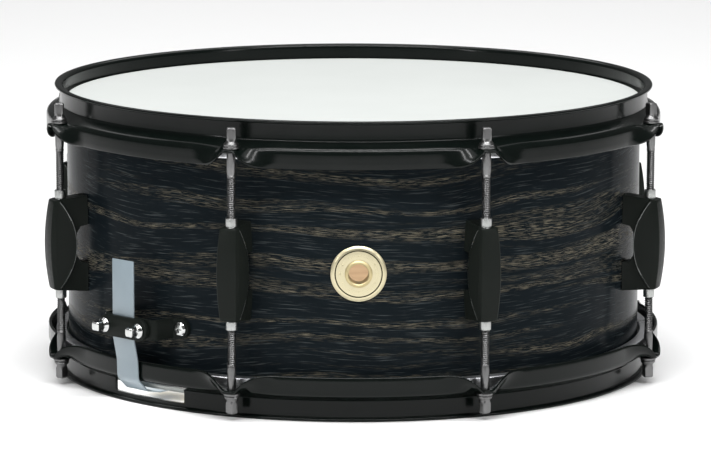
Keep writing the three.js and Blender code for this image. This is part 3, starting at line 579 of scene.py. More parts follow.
def make_badge():
    """A domed disc with an enamelled groove and a ring of beads, bent onto the shell."""
    hole_r = GROMMET_R + 0.1
    outline = fillet(
        [
            (hole_r, 0.15), (BADGE_R, 0.15), (BADGE_R, 0.7), (BADGE_R - 1.6, 1.6),
            (GROOVE_R + GROOVE_HALF, 1.75), (GROOVE_R + 0.25, 1.15), (GROOVE_R - 0.25, 1.15),
            (GROOVE_R - GROOVE_HALF, 1.6), (8.8, 1.5), (hole_r, 1.5),
        ],
        [0, 0.2, 0.3, 0.8, 0.05, 0.05, 0.05, 0.05, 0, 0], 4, closed=True,
    )
    mesh = facing_front(turned("badge_fine", outline, 120))
    dome = facing_front(turned("bead", [(0, 0), *arc(0, 0, BEAD_R, 0, 90, 4)], 12))
    beads = []
    for i in range(BEADS):
        a = 2 * math.pi * i / BEADS
        beads.append(shifted(dome, BEAD_RING_R * math.sin(a), 1.3, BEAD_RING_R * math.cos(a)))
    mesh = joined("badge_fine", [mesh, *beads])
    mesh.materials.append(GOLD)
    mesh.materials.append(ENAMEL)
    for face in mesh.polygons:
        radius = math.hypot(face.center.x / MM, face.center.z / MM - MID + LUG_DROP)
        if abs(radius - GROOVE_R) < GROOVE_HALF:
            face.material_index = 1
    wrap_on_shell(mesh)
    stand_in("badge", mesh, GOLD)


def make_grommet():
    """A ring through the badge and the shell, rolled over at both ends."""
    inside = -SHELL_WALL
    seat = 1.45
    outline = fillet(
        [
            (VENT_R + 0.9, 2.9), (GRIP_R, 2.0), (GRIP_R, seat), (GROMMET_R, seat), (GROMMET_R, inside),
            (GRIP_R, inside - 0.2), (GRIP_R, inside - 0.9), (VENT_R, inside - 0.9), (VENT_R, 2.2),
        ],
        [0.6, 0.5, 0, 0, 0, 0.2, 0.3, 0.3, 0.5], 5, closed=True,
    )
    mesh = facing_front(turned("vent_grommet_fine", outline, 72))
    mesh.transform(Matrix.Translation((0, -SHELL_R * MM, 0)))
    stand_in("vent_grommet", mesh, YELLOW_GOLD)


# ---- heads and hoops

def make_heads():
    """Both films with their collars, and the flesh hoops that hold them."""
    film = 0.35
    under = EDGE + 0.32
    path = fillet(
        [(0, under), (SHELL_R - 1.0, under), (SHELL_R + 0.4, under - 2.2), (SHELL_R + 0.5, FLESH_END + 4)],
        [0, 1.6, 1.6, 0], 6,
    )
    upper = [(0, under + film)] + [(r, z + film) for r, z in path[1:7]]
    outer = [(r + film, z) for r, z in path[7:]]
    rim = [(SHELL_R + 0.15, under + 0.1)]
    outline = path + outer[::-1] + rim + upper[::-1]
    batter = turned("batter_head_fine", outline, ROUND, sharp=50)
    stand_in("batter_head", batter, COATED)
    snare = turned_over(batter)
    stand_in("snare_side_head", snare, HAZY)
    section = rounded_box(SHELL_R + 1.05, FLESH_R, FLESH_END, FLESH_TOP, 0.9)
    flesh = turned("batter_flesh_hoop_fine", section, ROUND)
    stand_in("batter_flesh_hoop", flesh, ALUMINIUM)
    stand_in("snare_side_flesh_hoop", turned_over(flesh), ALUMINIUM)


def hoop_outline(ear):
    """The pressed sheet's section in (r, z). ear = 0 hangs down as the skirt, ear = 1 stands out flat."""
    half = HOOP_SHEET / 2
    skirt_r = SKIRT_R - half
    wall_end = LIP - 12.8
    rim_reach = 3.1
    ear_reach = 11.0
    corner = np.array([skirt_r - 1.2 * ear, EAR_TOP - half + 0.6 * (1 - ear)])
    length = (corner[1] - SKIRT_END) * (1 - ear) + ear_reach * ear
    turn = math.radians(90 * ear)
    tip = corner + length * np.array([math.sin(turn), -math.cos(turn)])
    top = LIP - half
    path = fillet(
        [(HOOP_WALL_R + rim_reach, top), (HOOP_WALL_R, top), (HOOP_WALL_R, wall_end), corner, tip],
        [0, 2.0, 3.0, 3.6, 0], 6,
    )
    bend_end = np.array(path[-2])
    leg = [tuple(bend_end * (1 - t) + tip * t) for t in (0.33, 0.66, 1.0)]
    return strip(path[:-1] + leg, HOOP_SHEET)


def hoop_stations():
    """Angles round the hoop with how far the skirt is turned out at each, closer together near the ears."""
    half_width, foot = 3.5, 30.0
    near = np.linspace(-foot - 1, foot + 1, 63)
    to_degrees = 180 / math.pi / ROD_R
    stations = []
    for centre in LUG_ANGLES:
        for distance in near:
            share = np.clip((foot - abs(distance)) / (foot - half_width), 0, 1)
            stations.append((centre + distance * to_degrees, share ** 2))
        start, end = centre + near[-1] * to_degrees, centre + 45 + near[0] * to_degrees
        stations += [(a, 0.0) for a in np.linspace(start, end, 18)[1:-1]]
    return stations


def make_hoops():
    """Two pressed hoops, bored under each rod. The lower one also has a gate at each end of the snares."""
    rings = []
    for angle, ear in hoop_stations():
        a = math.radians(angle)
        rings.append([(r * math.sin(a), -r * math.cos(a), z) for r, z in hoop_outline(ear)])
    hoop = solid("batter_hoop_fine", rings, 50, loop=True)
    drill = prism("drill", circle(0, ROD_R, 3.2), EAR_TOP - 6, EAR_TOP + 3, upright)
    drills = joined("drills", [turned_to(drill, angle) for angle in LUG_ANGLES])
    hoop = combined(hoop, [drills], sharp=50)
    stand_in("batter_hoop", hoop, BLACK)
    gate_left, gate_right = -25.7, 32.3
    gate_low, gate_high = -LIP + 4.3, -LIP + 14.0
    opening = rounded_box(gate_left, gate_right, gate_low, gate_high, 0.8)
    gate = prism("gate", opening, HOOP_WALL_R - 8, SKIRT_R - 2.6, outward)
    gates = joined("gates", [turned_to(gate, BUTT_ANGLE), turned_to(gate, STRAINER_ANGLE)])
    lower = combined(turned_over(hoop), [gates], sharp=50)
    lower.materials.clear()
    stand_in("snare_side_hoop", lower, BLACK)


# ---- lugs

LUG_HALF = 27.2
LUG_DEPTH = 24.0
LUG_FACE = SHELL_R + LUG_DEPTH
LUG_BORE_R = 3.35
LUG_SCREW_Z = 19.0
CREASE_HALF = 0.2


def crease_radius(s):
    """Where the crease on a lug's side runs, at the square s of the share of its half height."""
    return LUG_FACE - 2.6 * s - 2.8 - 13.2 * (1 - s)


def lug_section(share):
    """A lug's section in (x, r) at a share of its half height, from -1 to 1."""
    s = share * share
    face_half = 5.7 - 1.1 * s
    side_half = 7.1 - 1.3 * s
    face = LUG_FACE - 2.6 * s
    crease = crease_radius(s)
    waist = side_half - 0.9
    flare = side_half + 0.3 + 0.6 * (1 - s)
    right = [
        (0.0, face + 0.35), (face_half * 0.6, face + 0.2), (face_half, face), (face_half + 0.5, face - 0.35),
        (side_half - 0.25, face - 2.3), (side_half, face - 2.9),
        (flare - 0.15, crease + 0.6), (flare, crease + 0.3), (flare, crease), (flare - 0.3, crease - 0.3),
        (waist, crease - 0.9), (waist + 0.2, SHELL_R + 2.5), (waist + 0.8, SHELL_R + 0.4),
    ]
    left = [(-x, r) for x, r in right[:0:-1]]
    return right + left


def lug_blank():
    """The lug before its notch and bore: full in the middle, with softened ends."""
    rings = []
    levels = [-1.0, -0.995, -0.98, -0.95, *np.linspace(-0.9, 0.9, 25), 0.95, 0.98, 0.995, 1.0]
    inset = {1.0: 0.93, 0.995: 0.975, 0.98: 0.995}
    for share in levels:
        scale = inset.get(abs(share), 1.0)
        ring = []
        for x, r in lug_section(share):
            toward_shell = (LUG_FACE - r) / LUG_DEPTH
            z = share * LUG_HALF * (1 + 0.085 * toward_shell)
            middle = SHELL_R + LUG_DEPTH / 2
            r_in = middle + (r - middle) * scale if r > middle else r
            ring.append((x * scale, -r_in, z - LUG_DROP))
        rings.append(ring)
    return solid("lug_fine", rings, 28)


def make_lug():
    """One bridge lug, open behind its middle, with a painted highlight line of bright metal along the crease
    of each side.
    """
    upper_half = [(SHELL_R + 7.4, 7), (SHELL_R + 5, 11), (SHELL_R - 3, 12.5)]
    lower_half = [(r, -z) for r, z in upper_half[::-1]]
    notch_side = fillet(lower_half + upper_half, [0, 1.5, 2, 2, 1.5, 0], 4)
    notch = prism("notch", [(r, z - LUG_DROP) for r, z in notch_side], -12, 12, across)
    bore = prism("bore", circle(0, ROD_R, LUG_BORE_R), -40, 40, upright)
    lug = combined(lug_blank(), [notch, bore], sharp=28)
    lug.materials.append(SATIN)
    lug.materials.append(CREASE_HIGHLIGHT)
    # Faces along the crease get the painted highlight metal, a line standing in for the crease's reflection.
    for face in lug.polygons:
        share = (face.center.z / MM - MID + LUG_DROP) / LUG_HALF
        is_side = abs(face.normal.x) > 0.5 and abs(share) < 0.96
        if is_side and abs(-face.center.y / MM - crease_radius(share ** 2)) < CREASE_HALF:
            face.material_index = 1
    return lug


def make_lugs():
    """Eight lugs with the swivel nuts that stand out of their ends and the screws inside the shell."""
    lug = make_lug()
    nut_outline = fillet(
        [(2.75, LUG_HALF - 8), (3.25, LUG_HALF - 8), (3.25, LUG_HALF + 0.4), (3.05, LUG_HALF + 0.7),
         (3.4, LUG_HALF + 1.0), (3.4, LUG_HALF + 5.9), (2.75, LUG_HALF + 5.9)],
        [0, 0, 0.1, 0.1, 0.2, 0.7, 0.3], 4, closed=True,
    )
    nut = turned("swivel_nut", [(r, z - LUG_DROP) for r, z in nut_outline], 40, (0, -ROD_R))
    low_outline = [(r, -z - LUG_DROP) for r, z in nut_outline]
    low_nut = turned("swivel_nut_low", low_outline, 40, (0, -ROD_R))
    screw_outline = fillet(
        [(0, -1.6), (3.6, -1.6), (4.2, 0), (0, 0)], [0, 1.2, 0.2, 0], 4, closed=True,
    )
    for number, angle in enumerate(LUG_ANGLES, 1):
        place(f"lug_fine_{number}", lug, SATIN, angle=angle, replaces=[f"lug_{number}"])
        place(f"batter_swivel_nut_{number}", nut, BRIGHT, angle=angle)
        place(f"snare_swivel_nut_{number}", low_nut, BRIGHT, angle=angle)
    screw = facing_front(turned("lug_screw", screw_outline, 24))
    inside = SHELL_R - SHELL_WALL - 0.1
    for number, angle in enumerate(LUG_ANGLES, 1):
        for tag, height in (("upper", LUG_SCREW_Z), ("lower", -LUG_SCREW_Z)):
            head = turned_over(shifted(screw, 0, -inside, 0))
            head = shifted(head, 0, 0, height)
            place(f"lug_screw_{tag}_{number}", head, CHROME, angle=angle + 180)


# ---- tension rods

ROD_FLANGE_Z = EAR_TOP + 1.6
THREAD_PITCH = 1.25
HEAD_TURNS = [6, 28, 61, 12, 80, 37, -4, 3]  # how far each rod's square head happens to be turned, in degrees


def thread_rings(outer, depth, top, bottom, sides):
    """Rings of points down a right-handed thread, about the z axis. It runs out over fade_length."""
    fade_length = 1.5
    count = int((top - bottom) / THREAD_PITCH * 8)
    rings = []
    for i in range(count + 1):
        z = top - (top - bottom) * i / count
        ring = []
        for j in range(sides):
            turn = j / sides
            phase = (z / THREAD_PITCH - turn) % 1.0
            fade = min(1.0, (top - z) / fade_length)
            r = outer - depth * fade * abs(2 * phase - 1)
            ring.append((r * math.cos(2 * math.pi * turn), r * math.sin(2 * math.pi * turn), z))
        rings.append(ring)
    return rings


def round_ring(radius, z, sides):
    return [
        (radius * math.cos(2 * math.pi * j / sides), radius * math.sin(2 * math.pi * j / sides), z)
        for j in range(sides)
    ]


def square_ring(half, z, corner, sides):
    """A square with as many points as a round ring. The higher corner is, the sharper its corners are."""
    ring = []
    for j in range(sides):
        a = 2 * math.pi * j / sides
        c, s = math.cos(a), math.sin(a)
        reach = (abs(c) ** corner + abs(s) ** corner) ** (-1 / corner)
        ring.append((half * reach * c, half * reach * s, z))
    return ring


def round_rings(profile, sides):
    return [round_ring(radius, z, sides) for radius, z in profile]


def key_head_rings(sides, top):
    """The square head, its flare and the round flange of a drum-key screw, from the top down to z = 0."""
    square = [
        (1.7, top, 4), (2.3, top - 0.15, 5), (2.65, top - 0.8, 8), (2.7, top - 1.2, 9),
        (2.7, 4.9, 9), (2.75, 4.2, 6),
    ]
    flange = [(3.0, 3.2), (3.5, 2.2), (4.1, 1.6), (4.4, 1.2), (4.45, 1.0), (4.4, 0.3), (4.2, 0.0)]
    return [square_ring(half, z, corner, sides) for half, z, corner in square] + round_rings(flange, sides)


def rod_skin(length):
    """Points and faces of a tension rod whose flange stands on z = 0."""
    sides = 32
    shank_end = -17.5
    shank = [(2.3, -0.05), (2.6, -4.0), (2.7, -9.0), (2.65, shank_end + 2.5), (2.35, shank_end + 0.4)]
    rings = key_head_rings(sides, 10.8) + round_rings(shank, sides)
    rings += thread_rings(2.62, 0.62, shank_end, -length, sides)
    rings.append(round_ring(1.6, -length - 0.8, sides))
    points, faces = skin(rings)
    return points, facing_out(points, faces)


def make_rods():
    """Sixteen tension rods with their washers. A snare side rod is a batter rod turned over."""
    rod_end = LUG_HALF - 12
    points, faces = rod_skin(ROD_FLANGE_Z - rod_end)
    lift = np.array([0, -ROD_R, ROD_FLANGE_Z])
    washer_outline = rounded_box(3.0, 4.8, EAR_TOP + 0.1, EAR_TOP + 1.4, 0.3)
    washer = turned("washer", washer_outline, 40, (0, -ROD_R))
    low_washer = turned_over(washer)
    for i, angle in enumerate(LUG_ANGLES):
        number = i + 1
        turn = math.radians(HEAD_TURNS[i] - angle)
        c, s = math.cos(turn), math.sin(turn)
        spin = np.array([[c, -s, 0], [s, c, 0], [0, 0, 1]])
        upper = new_mesh(f"batter_rod_fine_{number}", np.array(points) @ spin.T + lift, faces, 32)
        for side, rod, ring in (("batter", upper, washer), ("snare", turned_over(upper), low_washer)):
            node = f"{side}_tension_rod_{number}"
            place(f"{side}_rod_fine_{number}", rod, NICKEL, node, angle, [node])
            place(f"{side}_washer_{number}", ring, NICKEL, angle=angle)


# ---- clamps and screws

CLAMP_Z = (clamp_low.z + clamp_high.z) / 2 - MID
CLAMP_HALF = 20.0
CLAMP_WIDTH = 13.0
CLAMP_THICKNESS = 3.0
CLAMP_SCREW_XS = (-14.3, 14.3)
SCREW_HOLE_R = 2.3


def key_screw(shank):
    """A drum-key screw whose flange lies on r = 0 and whose head points outwards."""
    sides = 28
    profile = [(1.95, -0.05), (1.95, -shank), (1.4, -shank - 0.5)]
    rings = key_head_rings(sides, 8.7) + round_rings(profile, sides)
    points, faces = skin(rings)
    points = [(x, -z, y) for x, y, z in points]
    return new_mesh("key_screw", points, facing_out(points, faces), 32)


def flat(u, v, w):
    """Outline in (x, y), pushed along z."""
    return (u, v, w)


def pan_screw(head_r=4.3, head_h=1.9):
    """A cross-recess pan-head screw whose head lies on r = 0."""
    shank_r, shank = 2, 5.0
    outline = fillet(
        [
            (0, head_h), (head_r - 1.0, head_h - 0.1), (head_r, head_h - 1.2), (head_r, 0),
            (shank_r, 0), (shank_r, -shank), (0, -shank),
        ],
        [0, 1.2, 0.5, 0.1, 0, 0.3, 0], 5, closed=True,
    )
    mesh = turned("pan_screw", outline, 40)
    low, high = head_h - 1.3, head_h + 2
    slots = []
    for u, v in ((2.1, 0.5), (0.5, 2.1)):
        slot = rounded_box(-u, u, -v, v, 0.2, 2)
        slots.append(prism("slot", slot, low, high, flat))
    mesh = combined(mesh, slots)
    mesh.transform(Matrix.Translation((0, 0, -MID * MM)))
    mesh.transform(Matrix.Rotation(math.pi / 2, 4, "X"))
    mesh.transform(Matrix.Translation((0, 0, MID * MM)))
    return mesh


def clamp_outline(length, width, steps=10):
    half = width / 2
    reach = length / 2 - half
    return arc(reach, CLAMP_Z, half, -90, 90, steps) + arc(-reach, CLAMP_Z, half, 90, 270, steps)


def clamp_holes(radius, low, high):
    """Drills for the clamp's two screws."""
    return [prism("hole", circle(x, CLAMP_Z, radius), low, high, outward) for x in CLAMP_SCREW_XS]


def make_clamp(prefix, strap_r, body, angle):
    """The plate that holds a strap whose middle runs at strap_r, with its two drum-key screws."""
    node = f"{prefix}_clamp_plate"
    back = strap_r + 0.9
    front = back + CLAMP_THICKNESS
    outline = clamp_outline(2 * CLAMP_HALF, CLAMP_WIDTH)
    plate = prism(f"{node}_fine", outline, back, front, outward, 0.6)
    plate = combined(plate, clamp_holes(2.25, back - 3, front + 3))
    stand_in(node, plate, SATIN, body, angle)
    for i, x in enumerate(CLAMP_SCREW_XS):
        screw = shifted(key_screw(8.0), x, front + 0.1, CLAMP_Z)
        node = f"{prefix}_clamp_screw_{i + 1}"
        stand_in(node, screw, CHROME, body, angle)


STRAP_R_BUTT = SHELL_R + 17.3


def make_butt():
    """The bent bridge plate: two feet on the shell, and a bridge that carries the clamp."""
    def on_shell(offset, degrees):
        r = SHELL_R + offset
        return (r * math.sin(math.radians(degrees)), r * math.cos(math.radians(degrees)))

    sheet = 2.3
    gap = 0.2
    foot_end = 10.76
    foot_bend = 7.2
    screw_angle = 8.96
    bridge = SHELL_R + 14.2 + sheet / 2
    foot = [on_shell(gap + sheet / 2, degrees) for degrees in (foot_bend, foot_end)]
    path = fillet([(0, bridge), (20.4, bridge), *foot], [0, 4.0, 3.4, 0], 9)
    path = [(-x, r) for x, r in path[:0:-1]] + path
    outline = strip(path, sheet, 4)
    height = 12.2
    low, high = CLAMP_Z - height / 2, CLAMP_Z + height / 2
    reach = SHELL_R * math.sin(math.radians(foot_end)) + 0.3
    plate = prism("butt_bracket_fine", outline, low, high, upright, 0.5, sharp=40)
    rounding = prism("rounding", clamp_outline(2 * reach, height), SHELL_R - 12, bridge + 9, outward)
    plate = combined(plate, [rounding], "INTERSECT", sharp=40)
    foot_hole = prism("hole", circle(0, CLAMP_Z, SCREW_HOLE_R), SHELL_R - 4, SHELL_R + 8, outward)
    holes = [turned_to(foot_hole, a) for a in (-screw_angle, screw_angle)]
    holes += clamp_holes(SCREW_HOLE_R, bridge - 4, bridge + 4)
    plate = combined(plate, holes, sharp=40)
    stand_in("butt_bracket", plate, SATIN, angle=BUTT_ANGLE)
    screw = shifted(pan_screw(), 0, SHELL_R + 0.3 + sheet, CLAMP_Z)
    for i, angle in enumerate((-screw_angle, screw_angle)):
        node = f"butt_mount_screw_{i + 1}"
        stand_in(node, screw, CHROME, angle=BUTT_ANGLE + angle)
    make_clamp("butt", STRAP_R_BUTT, "drum_body", BUTT_ANGLE)


# ---- straps and snares

WIRE_TOP = -FILM_TOP - 0.3
STRAP_Z = WIRE_TOP - 2.0
STRAP_HALF = 9.0
STRANDS = 20
STRAND_GAP = 2.0
STRAND_R = 0.21
COIL_R = 0.58
COIL_PITCH = 1.9
COIL_STEPS = 8
COIL_Z = WIRE_TOP - 0.8
WIRE_HALF = 150.0
COIL_TURNS = int(2 * WIRE_HALF / COIL_PITCH)
SLIDE_FRONT = SHELL_R + 18.0
STRAP_R_STRAINER = SLIDE_FRONT + 0.8


def strap_mesh(name, clamp_r, offset):
    """A strip from above its clamp, down past the skirt and in through the gate to the end plate."""
    skirt_r = SKIRT_R + 1.3
    corners = [
        (clamp_r + 0.1, -0.9), (clamp_r, CLAMP_Z - 7),
        (skirt_r + 0.4, -SKIRT_END + 1), (skirt_r, -EAR_TOP - 0.5),
        (HOOP_WALL_R + 3.0, STRAP_Z + 2.1), (HOOP_WALL_R - 8, STRAP_Z), (WIRE_HALF + 1.5, STRAP_Z),
    ]
    path = fillet(corners, [0, 16, 14, 6, 5, 8, 0], 8)
    outline = strip(path, 0.95, 3)
    return prism(name, outline, offset - STRAP_HALF, offset + STRAP_HALF, across, 0.25, sharp=40)


def make_straps():
    """The two straps. The one at the throw-off rides on its slide."""
    butt_offset = -2.6
    butt = strap_mesh("butt_strap_fine", STRAP_R_BUTT, butt_offset)
    stand_in("butt_strap", butt, STRAP, angle=BUTT_ANGLE)
    node = "strainer_strap"
    far = strap_mesh(f"{node}_fine", STRAP_R_STRAINER, 0.0)
    stand_in(node, far, STRAP, "strainer_slide", STRAINER_ANGLE)


def strand_mesh(x):
    """One coiled strand at x across the bed, as a thin tube with four sides."""
    rings = []
    for step in range(COIL_TURNS * COIL_STEPS + 1):
        turn = step / COIL_STEPS
        y = -WIRE_HALF + COIL_PITCH * turn
        a = 2 * math.pi * turn
        ring = []
        for j in range(4):
            b = 2 * math.pi * j / 4
            reach = COIL_R + STRAND_R * math.cos(b)
            ring.append((x + reach * math.cos(a), y + STRAND_R * math.sin(b), COIL_Z + reach * math.sin(a)))
        rings.append(ring)
    return solid("strand", rings, 60)


def make_wires():
    """Twenty coiled strands."""
    strands = [strand_mesh((i - (STRANDS - 1) / 2) * STRAND_GAP) for i in range(STRANDS)]
    wires = joined("snare_wires_fine", strands, 60)
    stand_in("snare_wires", wires, WIRE, "snare_wires", BUTT_ANGLE)


def make_end_plates():
    """The plates that the strands end in, each with a raised lip."""
    half, corner = 20.5, 15
    outline = fillet(
        [
            (-half, WIRE_HALF - 4), (half, WIRE_HALF - 4), (half, WIRE_HALF + 8),
            (corner, WIRE_HALF + 13), (-corner, WIRE_HALF + 13), (-half, WIRE_HALF + 8),
        ],
        1.2, 4, closed=True,
    )
    lip_outline = rounded_box(-half, half, WIRE_HALF + 0.5, WIRE_HALF + 3, 0.4)
    for tag, angle in (("butt", BUTT_ANGLE), ("strainer", STRAINER_ANGLE)):
        node = f"snare_end_plate_{tag}"
        plate = prism("end_plate", outline, WIRE_TOP - 1.55, WIRE_TOP - 0.9, upright, 0.15)
        lip = prism("end_lip", lip_outline, WIRE_TOP - 1.0, WIRE_TOP - 0.1, upright, 0.1)
        mesh = joined(f"{node}_fine", [plate, lip])
        stand_in(node, mesh, BRASS, "snare_wires", angle)


# ---- throw-off

PIVOT_R = SHELL_R + 13.2
PIVOT_Z = 2.0
PIVOT_HOLE_R = 2.5
CHEEK_LOW, CHEEK_HIGH = 10.5, 14.5
ARM_LOW, ARM_HIGH = 14.8, 17.5
BASE_BACK = SHELL_R + 0.3
BASE_FRONT = BASE_BACK + 4
BASE_TOP = 8
BASE_SCREW_ZS = (3, -52)


def pivot_drill():
    """A drill for the lever's pin, right across the throw-off."""
    return prism("hole", circle(PIVOT_R, PIVOT_Z, PIVOT_HOLE_R), -30, 30, across)


def both_sides(name, outline, low, high):
    """The same plate on the left and on the right."""
    return [prism(name, outline, *ends, across, 0.5) for ends in ((-high, -low), (low, high))]


def make_strainer_base():
    """A plate on the shell with two cheeks. The slide runs between them, the lever's arms outside."""
    plate_outline = rounded_box(-CHEEK_HIGH, CHEEK_HIGH, -57, BASE_TOP, 3.0, 5)
    plate = prism("strainer_plate", plate_outline, BASE_BACK, BASE_FRONT, outward, 0.6)
    front = BASE_BACK + 20
    root = BASE_FRONT - 1
    cheek = fillet(
        [
            (root, -28.4), (front - 6, -28.4), (front, -19.4), (front, 3), (front - 5, BASE_TOP),
            (root, BASE_TOP),
        ],
        [0, 3, 3, 3, 3, 0], 5,
    )
    base = combined(plate, both_sides("cheek", cheek, CHEEK_LOW, CHEEK_HIGH), "UNION")
    holes = [pivot_drill()]
    for z in BASE_SCREW_ZS:
        holes.append(prism("hole", circle(0, z, SCREW_HOLE_R), BASE_BACK - 4, BASE_FRONT + 4, outward))
    base = combined(base, holes)
    stand_in("strainer_base", base, SATIN, angle=STRAINER_ANGLE)
    screw = pan_screw(4.2, 1.7)
    for i, z in enumerate(BASE_SCREW_ZS):
        node = f"strainer_mount_screw_{i + 1}"
        head = shifted(screw, 0, BASE_FRONT + 0.1, z)
        stand_in(node, head, CHROME, angle=STRAINER_ANGLE)


def make_slide():
    """The block that the knob lifts, as an upside-down T, with the clamp on its foot."""
    back = SHELL_R + 6.8
    stem_outline = rounded_box(-10.2, 10.2, -48.4, -4.4, 1.5)
    foot_outline = rounded_box(-CLAMP_HALF, CLAMP_HALF, CLAMP_Z - 6.9, CLAMP_Z + 6.9, 4.5, 6)
    stem = prism("stem", stem_outline, back, SLIDE_FRONT, outward, 0.6)
    foot = prism("foot", foot_outline, back + 2, SLIDE_FRONT, outward, 0.6)
    slide = combined(stem, [foot], "UNION")
    holes = [prism("hole", circle(0, PIVOT_R, SCREW_HOLE_R), -20, 0, upright)]
    holes += clamp_holes(SCREW_HOLE_R, SLIDE_FRONT - 7, SLIDE_FRONT + 4)
    slide = combined(slide, holes)
    node = "strainer_slide"
    stand_in(node, slide, SATIN, node, STRAINER_ANGLE)
    make_clamp("strainer", STRAP_R_STRAINER, node, STRAINER_ANGLE)


def make_lever():
    """Two arms on the pivot and a grip across them."""
    back, front = PIVOT_R + 10, PIVOT_R + 13
    start = PIVOT_Z + 12
    arm = fillet(
        [
            (PIVOT_R - 4.5, PIVOT_Z - 1), (PIVOT_R, PIVOT_Z - 5.5), (PIVOT_R + 5, PIVOT_Z - 2),
            (front, start - 5), (front, start + 9), (back, start + 9), (PIVOT_R - 4.5, PIVOT_Z + 5),
        ],
        [3, 4, 3, 2, 0.5, 2, 4], 6, closed=True,
    )
    grip_outline = fillet(
        [(-ARM_HIGH, start), (ARM_HIGH, start), (ARM_HIGH, 30), (13, 40), (-13, 40), (-ARM_HIGH, 30)],
        [2, 2, 8, 5, 5, 8], 6, closed=True,
    )
    grip = prism("grip", grip_outline, back, front, outward, 0.8)
    lever = combined(grip, both_sides("arm", arm, ARM_LOW, ARM_HIGH), "UNION")
    lever = combined(lever, [pivot_drill()])
    node = "throw_off_lever"
    stand_in(node, lever, SATIN, node, STRAINER_ANGLE)


def make_pivot_screws():
    """A slotted screw on each side of the lever."""
    slot_outline = rounded_box(PIVOT_R - 5, PIVOT_R + 5, PIVOT_Z - 0.5, PIVOT_Z + 0.5, 0.1, 1)
    for i, side in enumerate((-1, 1)):
        shank_low, shank_high = sorted((side * 11.0, side * 17.9))
        head_low, head_high = sorted((side * 17.8, side * 19.4))
        slot_low, slot_high = sorted((side * 18.8, side * 21))
        shank = prism("shank", circle(PIVOT_R, PIVOT_Z, 2.2), shank_low, shank_high, across)
        head = prism("head", circle(PIVOT_R, PIVOT_Z, 4.0, 30), head_low, head_high, across, 0.4)
        slot = prism("slot", slot_outline, slot_low, slot_high, across)
        node = f"lever_pivot_screw_{i + 1}"
        mesh = joined(f"{node}_fine", [shank, combined(head, [slot])])
        stand_in(node, mesh, CHROME, angle=STRAINER_ANGLE)


def make_knob():
    """The fluted tension knob with its threaded stem."""
    flutes = 24
    flute_depth = 0.28
    steps = flutes * 6
    corners = [(4.0, 12.5), (7.2, 12.5), (7.5, 13.4), (7.5, 20.2), (6.3, 21.5), (0.6, 21.5)]
    knob_rings = []
    for r, z in fillet(corners, [0, 0.4, 0.3, 0.6, 0.8, 0], 4):
        depth = flute_depth if 13.2 < z < 20.4 else 0.0
        ring = []
        for j in range(steps):
            a = 2 * math.pi * j / steps
            reach = r - depth * (0.5 + 0.5 * math.cos(flutes * a))
            ring.append((reach * math.cos(a), reach * math.sin(a) - PIVOT_R, z))
        knob_rings.append(ring)
    grip = solid("knob_grip", knob_rings, 30)
    stem_rings = [round_ring(2.0, 12.6, 24)] + thread_rings(2.0, 0.3, 12.0, -16.0, 24)
    stem = shifted(solid("knob_stem", stem_rings, 30), r=PIVOT_R)
    knob = joined("tension_knob_fine", [grip, stem], 30)
    stand_in("tension_knob", knob, NICKEL, "tension_knob", STRAINER_ANGLE)


make_shell()
make_badge()
make_grommet()
make_heads()
make_hoops()
make_lugs()
make_rods()
make_butt()
make_straps()
make_wires()
make_end_plates()
make_strainer_base()
make_slide()
make_lever()
make_pivot_screws()
make_knob()


# ---- camera, floor and light

def make_camera():
    """A long lens a little above the drum, with the badge turned slightly to the right."""
    distance = 2.621
    elevation = math.radians(9.517)
    yaw = math.radians(-1.02)
    roll = math.radians(0.119)
    rig_z = MID * MM - 0.0016  # the height that the camera swings about
    aim = (0.00141, 0, rig_z - 0.00651)
    data = bpy.data.cameras.new("camera")
    data.lens = 212.4
    data.sensor_width = 36.0
    data.clip_end = 50.0
    camera = bpy.data.objects.new("camera", data)
    bpy.context.scene.collection.objects.link(camera)
    turn = Matrix.Rotation(yaw, 4, "Z")
    height = rig_z + distance * math.sin(elevation)
    location = Matrix.Translation((0, -distance * math.cos(elevation), height))
    direction = Matrix.Translation(aim).translation - location.translation
    look = direction.to_track_quat("-Z", "Y").to_matrix().to_4x4()
    camera.matrix_world = turn @ location @ look @ Matrix.Rotation(roll, 4, "Z")
    bpy.context.scene.camera = camera


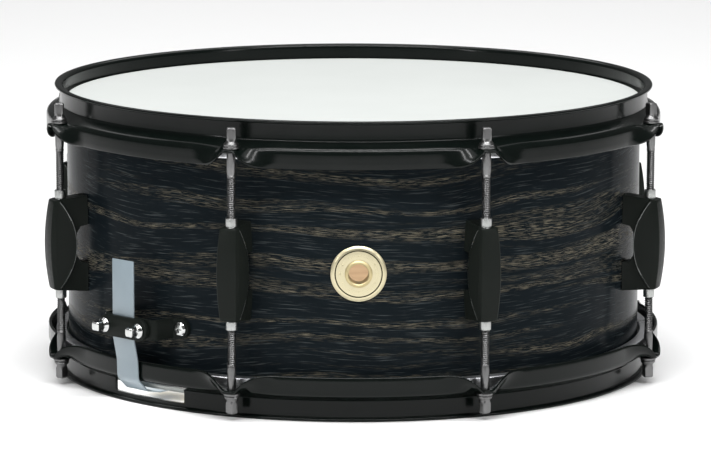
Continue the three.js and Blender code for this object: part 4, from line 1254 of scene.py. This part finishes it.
def make_floor():
    """A wide white floor without gloss."""
    size = 30.0
    mesh = bpy.data.meshes.new("floor")
    corners = [(-size, -size, 0), (size, -size, 0), (size, size, 0), (-size, size, 0)]
    mesh.from_pydata(corners, [], [(0, 1, 2, 3)])
    floor = bpy.data.objects.new("floor", mesh)
    look = Look("floor_white", (0.9, 0.9, 0.9), 0.9)
    look.set("Specular IOR Level", 0.0)
    mesh.materials.append(look.material)
    bpy.context.scene.collection.objects.link(floor)


def area_light(name, place_at, target, size, power):
    """A white rectangular light that faces its target."""
    data = bpy.data.lights.new(name, "AREA")
    data.shape = "RECTANGLE"
    data.size, data.size_y = size
    data.energy = power
    lamp = bpy.data.objects.new(name, data)
    bpy.context.scene.collection.objects.link(lamp)
    where = Matrix.Translation(place_at)
    aim = (Matrix.Translation(target).translation - where.translation).to_track_quat("-Z", "Y")
    lamp.matrix_world = where @ aim.to_matrix().to_4x4()


def make_light():
    """Overhead a broad light and a strip, one on the background, in front a strip and two narrow uprights.

    Two weak ones stand for light that the heads let through: inside the drum and under the lower head.
    """
    ambient = 0.12
    world = bpy.data.worlds.new("studio")
    world.use_nodes = True
    background = world.node_tree.nodes["Background"]
    background.inputs["Color"].default_value = (1, 1, 1, 1)
    background.inputs["Strength"].default_value = ambient
    bpy.context.scene.world = world
    area_light("overhead", (0, -0.1, 2.2), (0, 0, 0), (2.4, 2.0), 17)
    area_light("top_strip", (0, -0.35, 2.0), (0, -0.2, 0), (1.6, 0.12), 21)
    area_light("background", (0, 2.2, 2.4), (0, 2.2, 0), (4.0, 2.4), 55)
    area_light("front_strip", (0, -1.1, 1.6), (0, -0.9, 0), (2.6, 0.16), 36)
    area_light("left_upright", (-1.9, -1.5, 0.9), (0, 0, 0.09), (0.14, 1.3), 7)
    area_light("right_upright", (1.9, -1.5, 0.9), (0, 0, 0.09), (0.14, 1.3), 7)
    area_light("inside_glow", (0, 0.05, 0.1), (0, 0.3, 0.1), (0.1, 0.1), 0.25)
    area_light("under_glow", (-0.08, -0.08, 0.0085), (-0.08, -0.08, 0), (0.14, 0.14), 0.08)
    bpy.context.scene.view_settings.view_transform = "Standard"


make_camera()
make_floor()
make_light()
